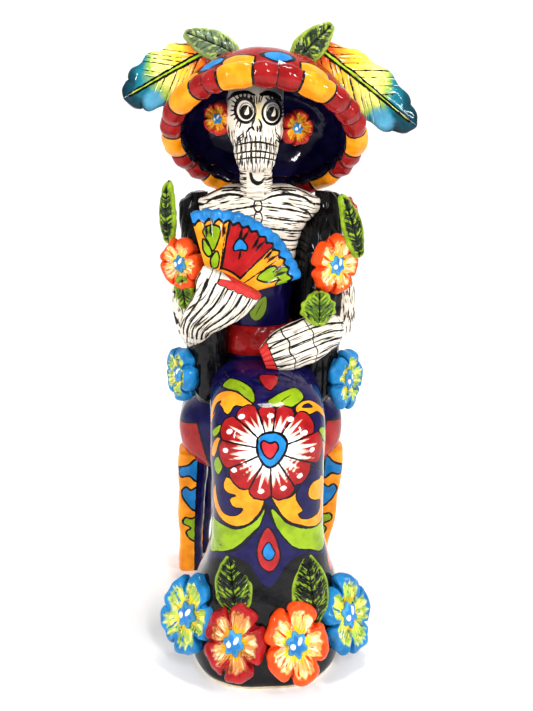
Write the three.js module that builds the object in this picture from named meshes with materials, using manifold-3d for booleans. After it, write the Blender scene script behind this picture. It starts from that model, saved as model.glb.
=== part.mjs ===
// A seated skeleton lady in hand-built, glazed earthenware: a tall hollow skirt that falls over her knees,
// a rib-cage torso, a shawl over both arms, a fan in one hand, and a wide bowl-shaped hat with two plumes.
// Every press-moulded or hand-rolled clay piece is a mesh of its own. Where two pieces are luted together,
// the later one is cut back from the earlier one by the thickness of the slip between them.
// Millimetres, +Z up, the lady faces -Y, and the origin is the middle of the footprint on the table.
import * as THREE from "three";
import { mergeVertices } from "three/addons/utils/BufferGeometryUtils.js";
import Module from "manifold-3d";

const wasm = await Module();
wasm.setup();

// ---- driving dimensions ----
const SLIP = 0.4; // thickness of the slip between two luted pieces
const SMOOTHED = 0.12; // how far a cut edge is rubbed smooth
const WALL = 7; // wall of the slip-cast hollow pieces
const KNEE_TOP = 241; // height of the lap
const THIGH_BOTTOM = 188;
const KNEE_Y = -92; // middle of the skirt's column
const SKIRT_HALF = 45; // half-width of the skirt at the knees
const HEM_HALF = 68;
const SEAT_BOTTOM = 130;
const SEAT_HALF = 74;
const WAIST_BOTTOM = 240;
const SHOULDER_TOP = 380;
const TORSO_X = -3; // she leans a little to her right
const HEAD_X = -6;
const NECK_TOP = 404;
const HAT_TILT = THREE.MathUtils.degToRad(41); // the hat is worn pushed back
const HAT_ROLL = THREE.MathUtils.degToRad(5); // and a little towards her left
const HAT_CENTRE = [1.5, -8, 423];
const RIM_RING = 73; // radius of the hat rim's centre line
const RIM_ROLL = 9.2; // radius of the rolled rim
const DOME_HEIGHT = 56;
const BRIM_BLOCKS = 8; // pairs of one narrow and one wide gadroon block round the rim
const FAN_PIVOT = [-40, -57, 297];
const FAN_RADIUS = 71.5;
const FAN_FROM = THREE.MathUtils.degToRad(13);
const FAN_TO = THREE.MathUtils.degToRad(104);
const FAN_PLEATS = 13;

// ---- glazes ----
const glaze = (color, roughness = 0.18) => new THREE.MeshStandardMaterial({ color, roughness, metalness: 0 });
const COBALT = glaze(0x14103f);
const BLACK = glaze(0x0b0a0c);
const BONE = glaze(0xe9dfd0, 0.4);
const RED = glaze(0xae1f22);
const ORANGE = glaze(0xf28c1e);
const SCARLET = glaze(0xe24a1d);
const SKY = glaze(0x2a83c4);
const LEAF = glaze(0x8fb21c);
const TEAL = glaze(0x1f6f73);

// ---- closed surfaces from rings of points ----
function surface(rings, wrap) {
  const count = rings[0].length;
  const points = rings.flat();
  const index = [];
  const last = wrap ? rings.length : rings.length - 1;
  for (let r = 0; r < last; r++)
    for (let i = 0; i < count; i++) {
      const a = r * count + i;
      const b = r * count + ((i + 1) % count);
      const c = ((r + 1) % rings.length) * count + i;
      const d = ((r + 1) % rings.length) * count + ((i + 1) % count);
      index.push(a, b, d, a, d, c);
    }
  if (!wrap)
    for (const [r, flip] of [[0, true], [rings.length - 1, false]]) {
      const middle = points.length;
      points.push(rings[r].reduce((s, p) => s.clone().add(p), new THREE.Vector3()).divideScalar(count));
      for (let i = 0; i < count; i++) {
        const a = r * count + i;
        const b = r * count + ((i + 1) % count);
        index.push(...(flip ? [b, a, middle] : [a, b, middle]));
      }
    }
  const geometry = new THREE.BufferGeometry().setFromPoints(points).setIndex(index);
  if (signedVolume(geometry) < 0) geometry.setIndex(index.reverse());
  return geometry;
}

function signedVolume(geometry) {
  const p = geometry.attributes.position;
  const [a, b, c] = [0, 1, 2].map(() => new THREE.Vector3());
  let sum = 0;
  for (let i = 0; i < geometry.index.count; i += 3) {
    [a, b, c].forEach((v, k) => v.fromBufferAttribute(p, geometry.index.getX(i + k)));
    sum += a.dot(b.clone().cross(c));
  }
  return sum / 6;
}

// A superellipse: 2 is an ellipse, and larger powers are boxier.
function superEllipse(halfU, halfV, power, sides) {
  return Array.from({ length: sides }, (_, i) => {
    const t = (2 * Math.PI * i) / sides;
    const round = (v, half) => half * Math.sign(v) * Math.abs(v) ** (2 / power);
    return [round(Math.cos(t), halfU), round(Math.sin(t), halfV)];
  });
}

// Level sections, each [height, middle x, middle y, half-width, half-depth].
function stack(sections, power = 2.3, sides = 24) {
  return surface(
    sections.map(([z, x, y, a, b]) =>
      superEllipse(a, b, power, sides).map(([u, v]) => new THREE.Vector3(x + u, y + v, z)),
    ),
  );
}

// Sections square to a path, each half-width and half-thickness measured across and along `flat`.
function limb(path, sizes, flat, sides = 14, power = 2.2) {
  const curve = new THREE.CatmullRomCurve3(path.map((p) => new THREE.Vector3(...p)));
  return surface(
    sizes.map(([a, b], i) => {
      const t = i / (sizes.length - 1);
      const along = curve.getTangentAt(t);
      const across = new THREE.Vector3().crossVectors(along, flat).normalize();
      const out = new THREE.Vector3().crossVectors(across, along);
      const middle = curve.getPointAt(t);
      return superEllipse(a, b, power, sides).map(([u, v]) =>
        middle.clone().addScaledVector(across, u).addScaledVector(out, v),
      );
    }),
  );
}

// A plate cut from rolled clay, with its back on the local z = 0 plane.
function plate(outline, thickness) {
  const shape = new THREE.Shape(outline.map(([x, y]) => new THREE.Vector2(x, y)));
  return new THREE.ExtrudeGeometry(shape, { depth: thickness, bevelEnabled: false });
}

// Curls a plate's surface: dz is the lift at each (x, y).
function curled(geometry, dz) {
  const p = geometry.attributes.position;
  for (let i = 0; i < p.count; i++) p.setZ(i, p.getZ(i) + dz(p.getX(i), p.getY(i)));
  return geometry;
}

// ---- the scene graph ----
const figure = new THREE.Group();
const luted = []; // in the order that the pieces are built up
function lute(name, geometry, material, parent = figure) {
  const mesh = new THREE.Mesh(geometry, material);
  mesh.name = name;
  parent.add(mesh);
  luted.push(mesh);
  return mesh;
}

// Stands a piece at a point with its local +Z along `facing` and its local +Y as near `up` as it can be.
function stand(mesh, at, facing, up = [0, 0, 1]) {
  const z = new THREE.Vector3(...facing).normalize();
  const x = new THREE.Vector3(...up).cross(z).normalize();
  mesh.quaternion.setFromRotationMatrix(new THREE.Matrix4().makeBasis(x, z.clone().cross(x), z));
  mesh.position.set(...at);
  return mesh;
}

// ---- skirt: a hollow column over the shins, flared at the hem, and the lap over the thighs ----
const SKIRT_SECTIONS = [
  [0, -2.5, -86, HEM_HALF - 10, 60],
  [10, -2.5, -86, HEM_HALF - 6, 63],
  [36, -2, -87, HEM_HALF - 4, 61],
  [64, -1, -88, 59, 53],
  [92, 0, -90, 50, 44],
  [122, 0, -91, 45, 39],
  [208, 0, KNEE_Y, SKIRT_HALF, 39],
  [228, 0, KNEE_Y, SKIRT_HALF - 4, 35],
  [KNEE_TOP - 2, 0, KNEE_Y + 1, SKIRT_HALF - 14, 25],
  [KNEE_TOP, 0, KNEE_Y + 2, SKIRT_HALF - 25, 14],
];
function skirt() {
  const column = solid(stack(SKIRT_SECTIONS, 2.5, 26));
  const middle = (KNEE_TOP + THIGH_BOTTOM) / 2;
  const half = (KNEE_TOP - THIGH_BOTTOM) / 2;
  const lap = (inset) =>
    surface(
      [[KNEE_Y + 6, 0], [-50, 0], [0, 1], [22, 4], [32, 12]].map(([y, less]) =>
        superEllipse(SKIRT_HALF - less - inset, half - less / 3 - inset, 3, 20).map(
          ([u, v]) => new THREE.Vector3(u, y - inset, middle + v),
        ),
      ),
    );
  const cavity = stack(
    SKIRT_SECTIONS.slice(0, 7).map(([z, x, y, a, b]) => [z || -1, x, y, a - WALL, b - WALL]),
    2.5,
    20,
  );
  return geometryOf(column.add(solid(lap(0))).subtract(solid(cavity)).subtract(solid(lap(WALL))));
}

// ---- the stool: a hollow seat with bulging ends on four legs ----
function seat() {
  const sections = [
    [SEAT_BOTTOM, 0, 34, SEAT_HALF - 9, 46],
    [SEAT_BOTTOM + 12, 0, 34, SEAT_HALF - 2, 50],
    [SEAT_BOTTOM + 30, 0, 34, SEAT_HALF, 51],
    [SEAT_BOTTOM + 48, 0, 34, SEAT_HALF - 4, 50],
    [THIGH_BOTTOM + 4, 0, 34, SEAT_HALF - 16, 45],
  ];
  const inside = sections
    .slice(0, 3)
    .map(([z, x, y, a, b]) => [z === SEAT_BOTTOM ? z - 1 : z, x, y, a - WALL - 5, b - WALL - 4]);
  return geometryOf(solid(stack(sections, 3, 24)).subtract(solid(stack(inside, 3, 16))));
}
const LEG_SIZES = [[13.5, 12], [13.5, 12], [12, 11], [11.5, 10.5], [11, 10], [11, 10]];
const FRONT = new THREE.Vector3(0, -1, 0);
const LEGS = {
  leg_front_right: [[-62, 21, SEAT_BOTTOM + 6], [-67, 30, 60], [-69, 43, 0]],
  leg_front_left: [[63, 22, SEAT_BOTTOM + 6], [60, 32, 60], [52, 44, 0]],
  leg_rear_right: [[-56, 66, SEAT_BOTTOM + 6], [-59, 70, 60], [-62, 76, 0]],
  leg_rear_left: [[56, 66, SEAT_BOTTOM + 6], [57, 70, 60], [58, 76, 0]],
};
function leg(path) {
  const tall = limb(path, LEG_SIZES, FRONT, 12, 3.4);
  const p = tall.attributes.position; // the foot is cut level with the table
  for (let i = 0; i < p.count; i++) p.setZ(i, Math.max(p.getZ(i), 0));
  const below = new THREE.BoxGeometry(200, 300, 20).translate(0, 0, -9.5);
  return geometryOf(solid(tall).subtract(solid(below))).translate(0, 0, -0.5);
}

// ---- torso, belt, neck and skull ----
const TORSO_SECTIONS = [
  [WAIST_BOTTOM - 4, TORSO_X, -2, 31, 27],
  [252, TORSO_X, -3, 28, 25],
  [272, TORSO_X, -4, 26, 23],
  [296, TORSO_X, -4, 28, 24],
  [318, TORSO_X, -4, 30, 26],
  [336, TORSO_X, -3, 33, 27],
  [350, TORSO_X, -2, 40, 26],
  [362, TORSO_X + 1, -1, 50, 22],
  [372, TORSO_X + 1, 0, 44, 17],
  [SHOULDER_TOP, TORSO_X + 1, 0, 26, 12],
];
const BELT_SECTIONS = [
  [243, TORSO_X, -4, 31, 28],
  [249, TORSO_X, -4, 33, 30],
  [259, TORSO_X, -4, 32, 29],
  [267, TORSO_X, -4, 28.5, 25.5],
];
const NECK_SECTIONS = [
  [368, -4, -4, 17, 13],
  [376, -4.5, -8, 14, 13],
  [387, -5, -11, 13, 14],
  [NECK_TOP, HEAD_X, -14, 13, 15],
];
const SKULL_SECTIONS = [
  [394, HEAD_X, -25, 7, 8],
  [398, HEAD_X, -27, 12.5, 13],
  [405, HEAD_X, -27, 15.5, 17],
  [414, HEAD_X, -25, 17.5, 21],
  [424, HEAD_X, -20, 21.5, 26],
  [433, HEAD_X, -16, 22.8, 29],
  [444, HEAD_X, -12, 22.5, 32],
  [455, HEAD_X + 1, -9, 21.5, 30],
  [463, HEAD_X + 1, -7, 17, 24],
  [469, HEAD_X + 1, -5, 8, 13],
];

// ---- arms and hands ----
const ARMS = {
  right_arm: [[-60, -16, 328], [-66, -18, 296], [-62, -24, 260]],
  left_arm: [[60, -16, 326], [68, -14, 294], [68, -20, 260]],
};
const ARM_SIZES = [[8, 8], [9.5, 9], [9, 9], [9.5, 9.5], [8, 8]];
const HANDS = {
  right_hand: {
    path: [[-57, -22, 258], [-53, -42, 276], [-36, -64, 298], [-26, -73, 317]],
    sizes: [[11, 11], [13, 11], [15.5, 10], [20, 9], [25, 7.5], [25, 5.5]],
  },
  left_hand: {
    path: [[66, -12, 262], [48, -40, 264], [22, -56, 258], [-2, -58, 249]],
    sizes: [[9, 9], [14, 11], [18, 11], [19, 10], [17, 9], [9, 6]],
  },
};
function limbMesh({ path, sizes }) {
  return limb(path, sizes, FRONT, 14, 2.3);
}

// ---- fan: a pleated sector with a thick rolled edge ----
function fan() {
  const steps = FAN_PLEATS * 2;
  const outline = [];
  for (let i = 0; i <= steps; i++) {
    const a = FAN_FROM + ((FAN_TO - FAN_FROM) * i) / steps;
    outline.push([Math.cos(a) * FAN_RADIUS, Math.sin(a) * FAN_RADIUS]);
  }
  for (const a of [FAN_TO, (FAN_FROM + FAN_TO) / 2, FAN_FROM])
    outline.push([Math.cos(a) * 14, Math.sin(a) * 14]);
  return curled(plate(outline, 6.5), (x, y) => -0.0016 * (x * x + y * y));
}

// ---- hat: a lathed bowl, a gadrooned rim rolled round its edge ----
function hatShell() {
  const steps = 6;
  const outer = [];
  const inner = [];
  for (let i = 0; i <= steps; i++) {
    const t = (Math.PI / 2) * (i / steps);
    outer.push([(RIM_RING + 1) * Math.cos(t), DOME_HEIGHT * Math.sin(t)]);
    inner.unshift([(RIM_RING + 1 - WALL) * Math.cos(t), (DOME_HEIGHT - WALL) * Math.sin(t)]);
  }
  const points = [...outer, ...inner, outer[0]].map(([r, z]) => new THREE.Vector2(Math.max(r, 0), z));
  points[steps].x = 0;
  points[steps + 1].x = 0;
  return new THREE.LatheGeometry(points, 32).rotateX(Math.PI / 2);
}
// Height of the gadroons round the rim, 0 at a joint line and 1 on a block's crown.
function gadroon(turn) {
  const pair = (turn * BRIM_BLOCKS) % 1;
  const narrow = 0.4;
  const within = pair < narrow ? pair / narrow : (((pair - narrow) / (1 - narrow)) * 2) % 1;
  return Math.abs(Math.sin(Math.PI * within)) ** 0.6;
}
function hatRim() {
  const rings = [];
  const steps = BRIM_BLOCKS * 6;
  for (let i = 0; i < steps; i++) {
    const turn = (i + 0.5) / steps;
    const a = turn * 2 * Math.PI;
    const roll = RIM_ROLL * (0.84 + 0.16 * gadroon(turn));
    rings.push(
      superEllipse(roll, roll, 2, 8).map(([u, v]) => {
        const r = RIM_RING + u;
        return new THREE.Vector3(r * Math.cos(a), r * Math.sin(a), v - 4);
      }),
    );
  }
  return surface(rings, true);
}

// ---- plumes, leaves and flowers ----
// A plume hangs from its root at the local origin and runs along +Y, with lobed sides and a broad end.
function plume(length, width) {
  const outline = [];
  const steps = 16;
  for (const side of [1, -1])
    for (let i = 0; i < steps; i++) {
      const t = side > 0 ? i / steps : 1 - i / steps;
      const broad = Math.sin(Math.PI * t ** 0.75) ** 0.55 * (0.55 + 0.45 * t);
      const lobes = 1 + 0.07 * Math.cos(t * 7 * Math.PI);
      outline.push([side * (width / 2) * broad * lobes + side * 2, t * length]);
    }
  return curled(plate(outline, 9), (x, y) => -0.0012 * y * y - 0.006 * x * x);
}
function leaf(length, width, thickness = 5) {
  const outline = [];
  const steps = 9;
  for (const side of [1, -1])
    for (let i = 0; i < steps; i++) {
      const t = side > 0 ? i / steps : 1 - i / steps;
      outline.push([side * (width / 2) * Math.sin(Math.PI * t ** 0.85) ** 0.7 + side * 0.4, t * length]);
    }
  return curled(plate(outline, thickness), (x, y) => -0.008 * x * x - 0.004 * (y - length / 2) ** 2);
}
const PETALS = 5;
const FLOWER_HEIGHT = 0.45; // of its radius
const FLOWER_SINK = 0.12; // how far its back is pressed in, of its radius
const EYE_AT = 0.3; // where the ball in its middle sits, of its radius
// A rosette's rings, each [share of the radius, share of the height]: a puffy edge round a shallow hollow.
const ROSETTE = [[0.15, 0.62], [0.66, 0.7], [0.76, 1.08], [0.88, 1.16], [1, 0.72], [0.9, 0], [0.15, 0]];
function blossom(radius, tall) {
  const height = radius * FLOWER_HEIGHT;
  return surface(
    ROSETTE.map(([share, level]) =>
      Array.from({ length: 20 }, (_, i) => {
        const a = (2 * Math.PI * i) / 20;
        const r = share * radius * (0.9 + 0.1 * Math.cos(PETALS * a));
        return new THREE.Vector3(r * Math.cos(a), r * Math.sin(a) * tall, height * (level - 0.3 * share ** 2));
      }),
    ),
  );
}
// A flower is a five-petalled rosette with a separate ball of clay pressed into its middle.
function flower(name, material, at, facing, radius, tall = 1) {
  const out = new THREE.Vector3(...facing).normalize();
  const back = new THREE.Vector3(...at).addScaledVector(out, -radius * FLOWER_SINK);
  const front = back.clone().addScaledVector(out, radius * EYE_AT);
  const eye = new THREE.SphereGeometry(radius * 0.28, 8, 6).scale(1, tall, 0.55);
  stand(lute(name + "_eye", eye, SKY), front.toArray(), facing);
  stand(lute(name, blossom(radius, tall), material), back.toArray(), facing);
}

// ---- shawl: two side falls over the arms and a back panel ----
function shawlSide(side) {
  const sections = [
    [202, 45, -2, 15, 34],
    [212, 46, -2, 18, 38],
    [240, 46, -2, 19, 38],
    [280, 47, -2, 19, 36],
    [318, 48, -1, 20, 31],
    [340, 50, 1, 18, 25],
    [355, 54, 4, 15, 17],
    [367, 56, 7, 12, 11],
    [374, 52, 8, 7, 7],
  ];
  return stack(sections.map(([z, x, y, a, b]) => [z, side * x, y, a, b]), 2.6, 18);
}
function shawlBack() {
  return stack(
    [
      [204, 0, 30, 44, 11],
      [240, 0, 30, 46, 11],
      [300, 0, 27, 48, 11],
      [345, 0, 22, 48, 11],
      [366, 0, 17, 40, 9],
      [376, 0, 14, 26, 6],
    ],
    3,
    18,
  );
}

// ---- assembly, in the order that the clay is built up ----
lute("torso", stack(TORSO_SECTIONS, 2.4, 22), BONE);
lute("belt", stack(BELT_SECTIONS, 2.4, 22), RED);
lute("skirt", skirt(), COBALT);
lute("neck", stack(NECK_SECTIONS, 2.1, 16), BONE);
lute("skull", stack(SKULL_SECTIONS, 2.2, 22), BONE);
lute("shawl_left", shawlSide(1), BLACK);
lute("shawl_right", shawlSide(-1), BLACK);
lute("shawl_back", shawlBack(), BLACK);
for (const [name, hand] of Object.entries(HANDS)) lute(name, limbMesh(hand), BONE);
for (const [name, path] of Object.entries(ARMS)) lute(name, limb(path, ARM_SIZES, FRONT), BONE);
const fanMesh = lute("fan", fan(), ORANGE);
stand(fanMesh, FAN_PIVOT, [0.06, -1, 0.1]);

const hat = new THREE.Group();
hat.rotation.set(-HAT_TILT, HAT_ROLL, 0);
hat.position.set(...HAT_CENTRE);
figure.add(hat);
lute("hat_rim", hatRim(), RED, hat);
lute("hat_shell", hatShell(), COBALT, hat);
stand(lute("hat_leaf_right", leaf(47, 22), LEAF), [-18, -20, 480], [-0.1, -0.9, 0.5], [-0.87, 0, 0.5]);
stand(lute("hat_leaf_left", leaf(46, 21), LEAF), [22, -20, 474], [0.15, -0.95, 0.3], [0.72, 0.1, 0.69]);
stand(lute("plume_right", plume(76, 50), TEAL), [-40, -6, 483], [-0.05, -1, 0.25], [-0.88, 0.02, -0.47]);
stand(lute("plume_left", plume(99, 50), TEAL), [43, -4, 485], [0.05, -1, 0.22], [0.8, 0.02, -0.6]);
flower("ear_flower_right", RED, [-34, -18, 434], [-0.55, -1, 0.05], 13.5);
flower("ear_flower_left", RED, [26, -20, 427], [0.45, -1, 0.05], 14.5);

lute("seat", seat(), COBALT);
for (const [name, path] of Object.entries(LEGS)) lute(name, leg(path), ORANGE);

flower("shoulder_flower_right", SCARLET, [-64, -30, 322], [-0.8, -0.9, 0.1], 22.5);
flower("shoulder_flower_left", SCARLET, [57, -30, 319], [0.5, -0.85, 0.1], 22.5, 1.12);
flower("hip_flower_right", SKY, [-67, -24, 226], [-1, -0.5, 0.1], 24);
flower("hip_flower_left", SKY, [68, -26, 219], [1, -0.7, 0.1], 25, 1.1);
flower("back_flower_left", RED, [74, 8, 355], [0.8, -0.4, 0.35], 14);
stand(lute("shoulder_leaf_right", leaf(50, 15, 6), LEAF), [-75, -18, 336], [-0.6, -0.8, 0.05], [0.06, 0.1, 1]);
stand(lute("shoulder_leaf_left", leaf(54, 17, 6), LEAF), [78, -24, 324], [0.45, -0.85, 0.1], [-0.37, 0.1, 0.93]);
stand(lute("cuff_leaf_right", leaf(27, 15, 6), LEAF), [-64, -33, 312], [-0.45, -1, 0], [0.1, 0, -1]);
stand(lute("cuff_leaf_left", leaf(26, 27, 7), LEAF), [42, -54, 277], [0.2, -1, 0.15], [-0.02, 0.25, 1]);

flower("hem_flower_far_right", SKY, [-62.5, -112.5, 49.5], [-0.85, -0.95, 0.42], 29, 1.2);
flower("hem_flower_right", RED, [-28, -143, 43], [-0.28, -1, 0.4], 26, 1.27);
flower("hem_flower_left", SCARLET, [19, -147, 43], [0.12, -1, 0.4], 26.5, 1.28);
flower("hem_flower_far_left", SKY, [61, -115, 46.5], [0.9, -0.95, 0.4], 28, 1.25);
stand(lute("hem_leaf_right", leaf(48, 29, 6), LEAF), [-26, -135, 62], [-0.3, -1, 0.3], [-0.1, 0.3, 1]);
stand(lute("hem_leaf_left", leaf(58, 30, 6), LEAF), [34, -136, 52], [0.35, -1, 0.3], [-0.12, 0.3, 1]);

lutePieces();
centreOnTable();

// ---- luting: the order of `luted` decides which piece keeps its clay where two meet ----
function solid(geometry, matrix = new THREE.Matrix4()) {
  const bare = new THREE.BufferGeometry();
  bare.setAttribute("position", geometry.getAttribute("position").clone());
  if (geometry.index) bare.setIndex(geometry.index.clone());
  const merged = mergeVertices(bare.applyMatrix4(matrix), 1e-3);
  const vertProperties = new Float32Array(merged.attributes.position.array);
  const corners = merged.index.array;
  const triVerts = [];
  for (let i = 0; i < corners.length; i += 3) {
    const [a, b, c] = [corners[i], corners[i + 1], corners[i + 2]];
    if (a !== b && b !== c && c !== a) triVerts.push(a, b, c);
  }
  return new wasm.Manifold(new wasm.Mesh({ numProp: 3, vertProperties, triVerts: new Uint32Array(triVerts) }));
}
function geometryOf(manifold) {
  const { vertProperties, triVerts, numProp, numVert } = manifold.getMesh();
  const xyz = new Float32Array(numVert * 3);
  for (let i = 0; i < numVert; i++) xyz.set(vertProperties.subarray(i * numProp, i * numProp + 3), i * 3);
  return new THREE.BufferGeometry()
    .setAttribute("position", new THREE.BufferAttribute(xyz, 3))
    .setIndex(new THREE.BufferAttribute(new Uint32Array(triVerts), 1));
}
function lutePieces() {
  figure.updateMatrixWorld(true);
  const slip = wasm.Manifold.sphere(SLIP, 4);
  const earlier = [];
  for (const mesh of luted) {
    const box = new THREE.Box3().setFromObject(mesh, true).expandByScalar(SLIP);
    const met = earlier.filter((piece) => piece.box.intersectsBox(box));
    if (met.length) {
      for (const piece of met) piece.swollen ??= piece.clay.minkowskiSum(slip);
      const left = met.reduce((shape, piece) => shape.subtract(piece.swollen), solid(mesh.geometry, mesh.matrixWorld));
      const largest = left.decompose().sort((a, b) => b.volume() - a.volume())[0].simplify(SMOOTHED);
      mesh.geometry = geometryOf(largest).applyMatrix4(mesh.matrixWorld.clone().invert());
    }
    earlier.push({ box, clay: solid(mesh.geometry, mesh.matrixWorld) });
  }
}
function centreOnTable() {
  const box = new THREE.Box3().setFromObject(figure, true);
  figure.position.set(-(box.min.x + box.max.x) / 2, -(box.min.y + box.max.y) / 2, -box.min.z);
}

export default figure;
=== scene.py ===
"""A seated skeleton lady in hand-built, glazed pottery. Every piece of clay is a closed surface through
rings of points. The painter's shapes are stored on the points as signed distances in millimetres, which
the glazes' node materials turn into fills with brushed outlines."""

import bpy
import numpy as np
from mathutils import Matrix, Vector

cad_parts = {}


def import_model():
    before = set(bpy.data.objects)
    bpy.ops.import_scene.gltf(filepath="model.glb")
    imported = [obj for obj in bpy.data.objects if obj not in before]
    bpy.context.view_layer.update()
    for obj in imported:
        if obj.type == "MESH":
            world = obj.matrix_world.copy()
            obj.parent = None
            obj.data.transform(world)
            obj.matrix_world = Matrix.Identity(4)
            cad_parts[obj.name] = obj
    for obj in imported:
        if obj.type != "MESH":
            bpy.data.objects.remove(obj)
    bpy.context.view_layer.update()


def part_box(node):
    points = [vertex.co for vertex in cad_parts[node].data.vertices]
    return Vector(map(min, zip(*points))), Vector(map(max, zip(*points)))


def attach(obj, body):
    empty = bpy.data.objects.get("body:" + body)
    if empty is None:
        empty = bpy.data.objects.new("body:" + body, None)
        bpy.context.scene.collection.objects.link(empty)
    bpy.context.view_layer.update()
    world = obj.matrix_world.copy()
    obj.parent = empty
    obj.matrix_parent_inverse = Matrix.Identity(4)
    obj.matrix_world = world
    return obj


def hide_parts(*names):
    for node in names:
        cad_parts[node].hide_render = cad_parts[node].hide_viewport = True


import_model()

# The middle of the skirt is at x = -2, and its hem reaches y = -149: that anchors the modelling frame.
SKIRT_LOW, SKIRT_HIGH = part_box("skirt")
ANCHOR = np.array([500 * (SKIRT_LOW.x + SKIRT_HIGH.x) + 2, 1000 * SKIRT_LOW.y + 149, 0])

# ---- colours, as glazes look when they are fired ----
COBALT = "#0f0944"
BLACK = "#08070a"
LINE = "#0c0a0c"
BONE = "#ece1d0"
ORANGE = "#ff9414"
SKY = "#1b78bc"
LIME = "#86a411"
YELLOW = "#f8cf2a"
CREAM = "#f4e6c8"
WHITE = "#f6f4ef"


RADIAN = 57.3  # in degrees


def rgb(code):
    """The linear colour of an sRGB hex code."""
    parts = [int(code[i : i + 2], 16) / 255 for i in (1, 3, 5)]
    return [p / 12.92 if p <= 0.04045 else ((p + 0.055) / 1.055) ** 2.4 for p in parts]


# ---- curves and noise ----
def unit(v):
    v = np.asarray(v, float)
    return v / np.linalg.norm(v, axis=-1, keepdims=True)


def spline(points, count, closed=False):
    """Points along a smooth curve through the given ones."""
    p = np.asarray(points, float)
    if closed:
        p = np.vstack([p[-1:], p, p[:2]])
    else:
        p = np.vstack([2 * p[:1] - p[1:2], p, 2 * p[-1:] - p[-2:-1]])
    spans = len(p) - 3
    t = np.linspace(0, spans, count, endpoint=not closed)
    k = np.minimum(t.astype(int), spans - 1)
    f = (t - k)[:, None]
    a, b, c, d = p[k], p[k + 1], p[k + 2], p[k + 3]
    return 0.5 * (2 * b + (c - a) * f + (2 * a - 5 * b + 4 * c - d) * f**2 + (3 * b - a - 3 * c + d) * f**3)


def lumps(p, size, seed):
    """Smooth noise between about -1 and 1 at points, with features of that size in millimetres."""
    rng = np.random.default_rng(seed)
    waves = unit(rng.normal(size=(7, p.shape[-1]))) * (2 * np.pi / size) * rng.uniform(0.6, 1.5, (7, 1))
    return 1.5 * np.sin(p @ waves.T + rng.uniform(0, 6.28, 7)).mean(-1)


def bump(x, centre, width):
    return np.exp(-(((x - centre) / width) ** 2))


def smooth(x, low, high):
    t = np.clip((x - low) / (high - low), 0, 1)
    return t * t * (3 - 2 * t)


def around(count):
    return np.linspace(0, 2 * np.pi, count, endpoint=False)


def superellipse(half_u, half_v, power, count):
    """A ring in its own plane. Power 2 is an ellipse, and larger powers are boxier."""
    t = around(count)
    c, s = np.cos(t), np.sin(t)
    u = half_u * np.sign(c) * np.abs(c) ** (2 / power)
    v = half_v * np.sign(s) * np.abs(s) ** (2 / power)
    return even(np.stack([u, v], -1))


def even(ring):
    """The same closed ring with its points spread evenly."""
    gaps = np.linalg.norm(np.roll(ring, -1, 0) - ring, axis=1)
    at = np.concatenate([[0], np.cumsum(gaps)])
    closed = np.vstack([ring, ring[:1]])
    want = np.linspace(0, at[-1], len(ring), endpoint=False)
    return np.stack([np.interp(want, at, closed[:, k]) for k in range(ring.shape[1])], -1)


def level_ring(ring, x, y, z):
    return np.column_stack([x + ring[:, 0], y + ring[:, 1], np.full(len(ring), z)])


def round_ring(turns, r, z, tall=1):
    """A ring at angles round the local z axis, stretched along y."""
    return np.column_stack([r * np.cos(turns), r * tall * np.sin(turns), z + 0 * turns])


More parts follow.
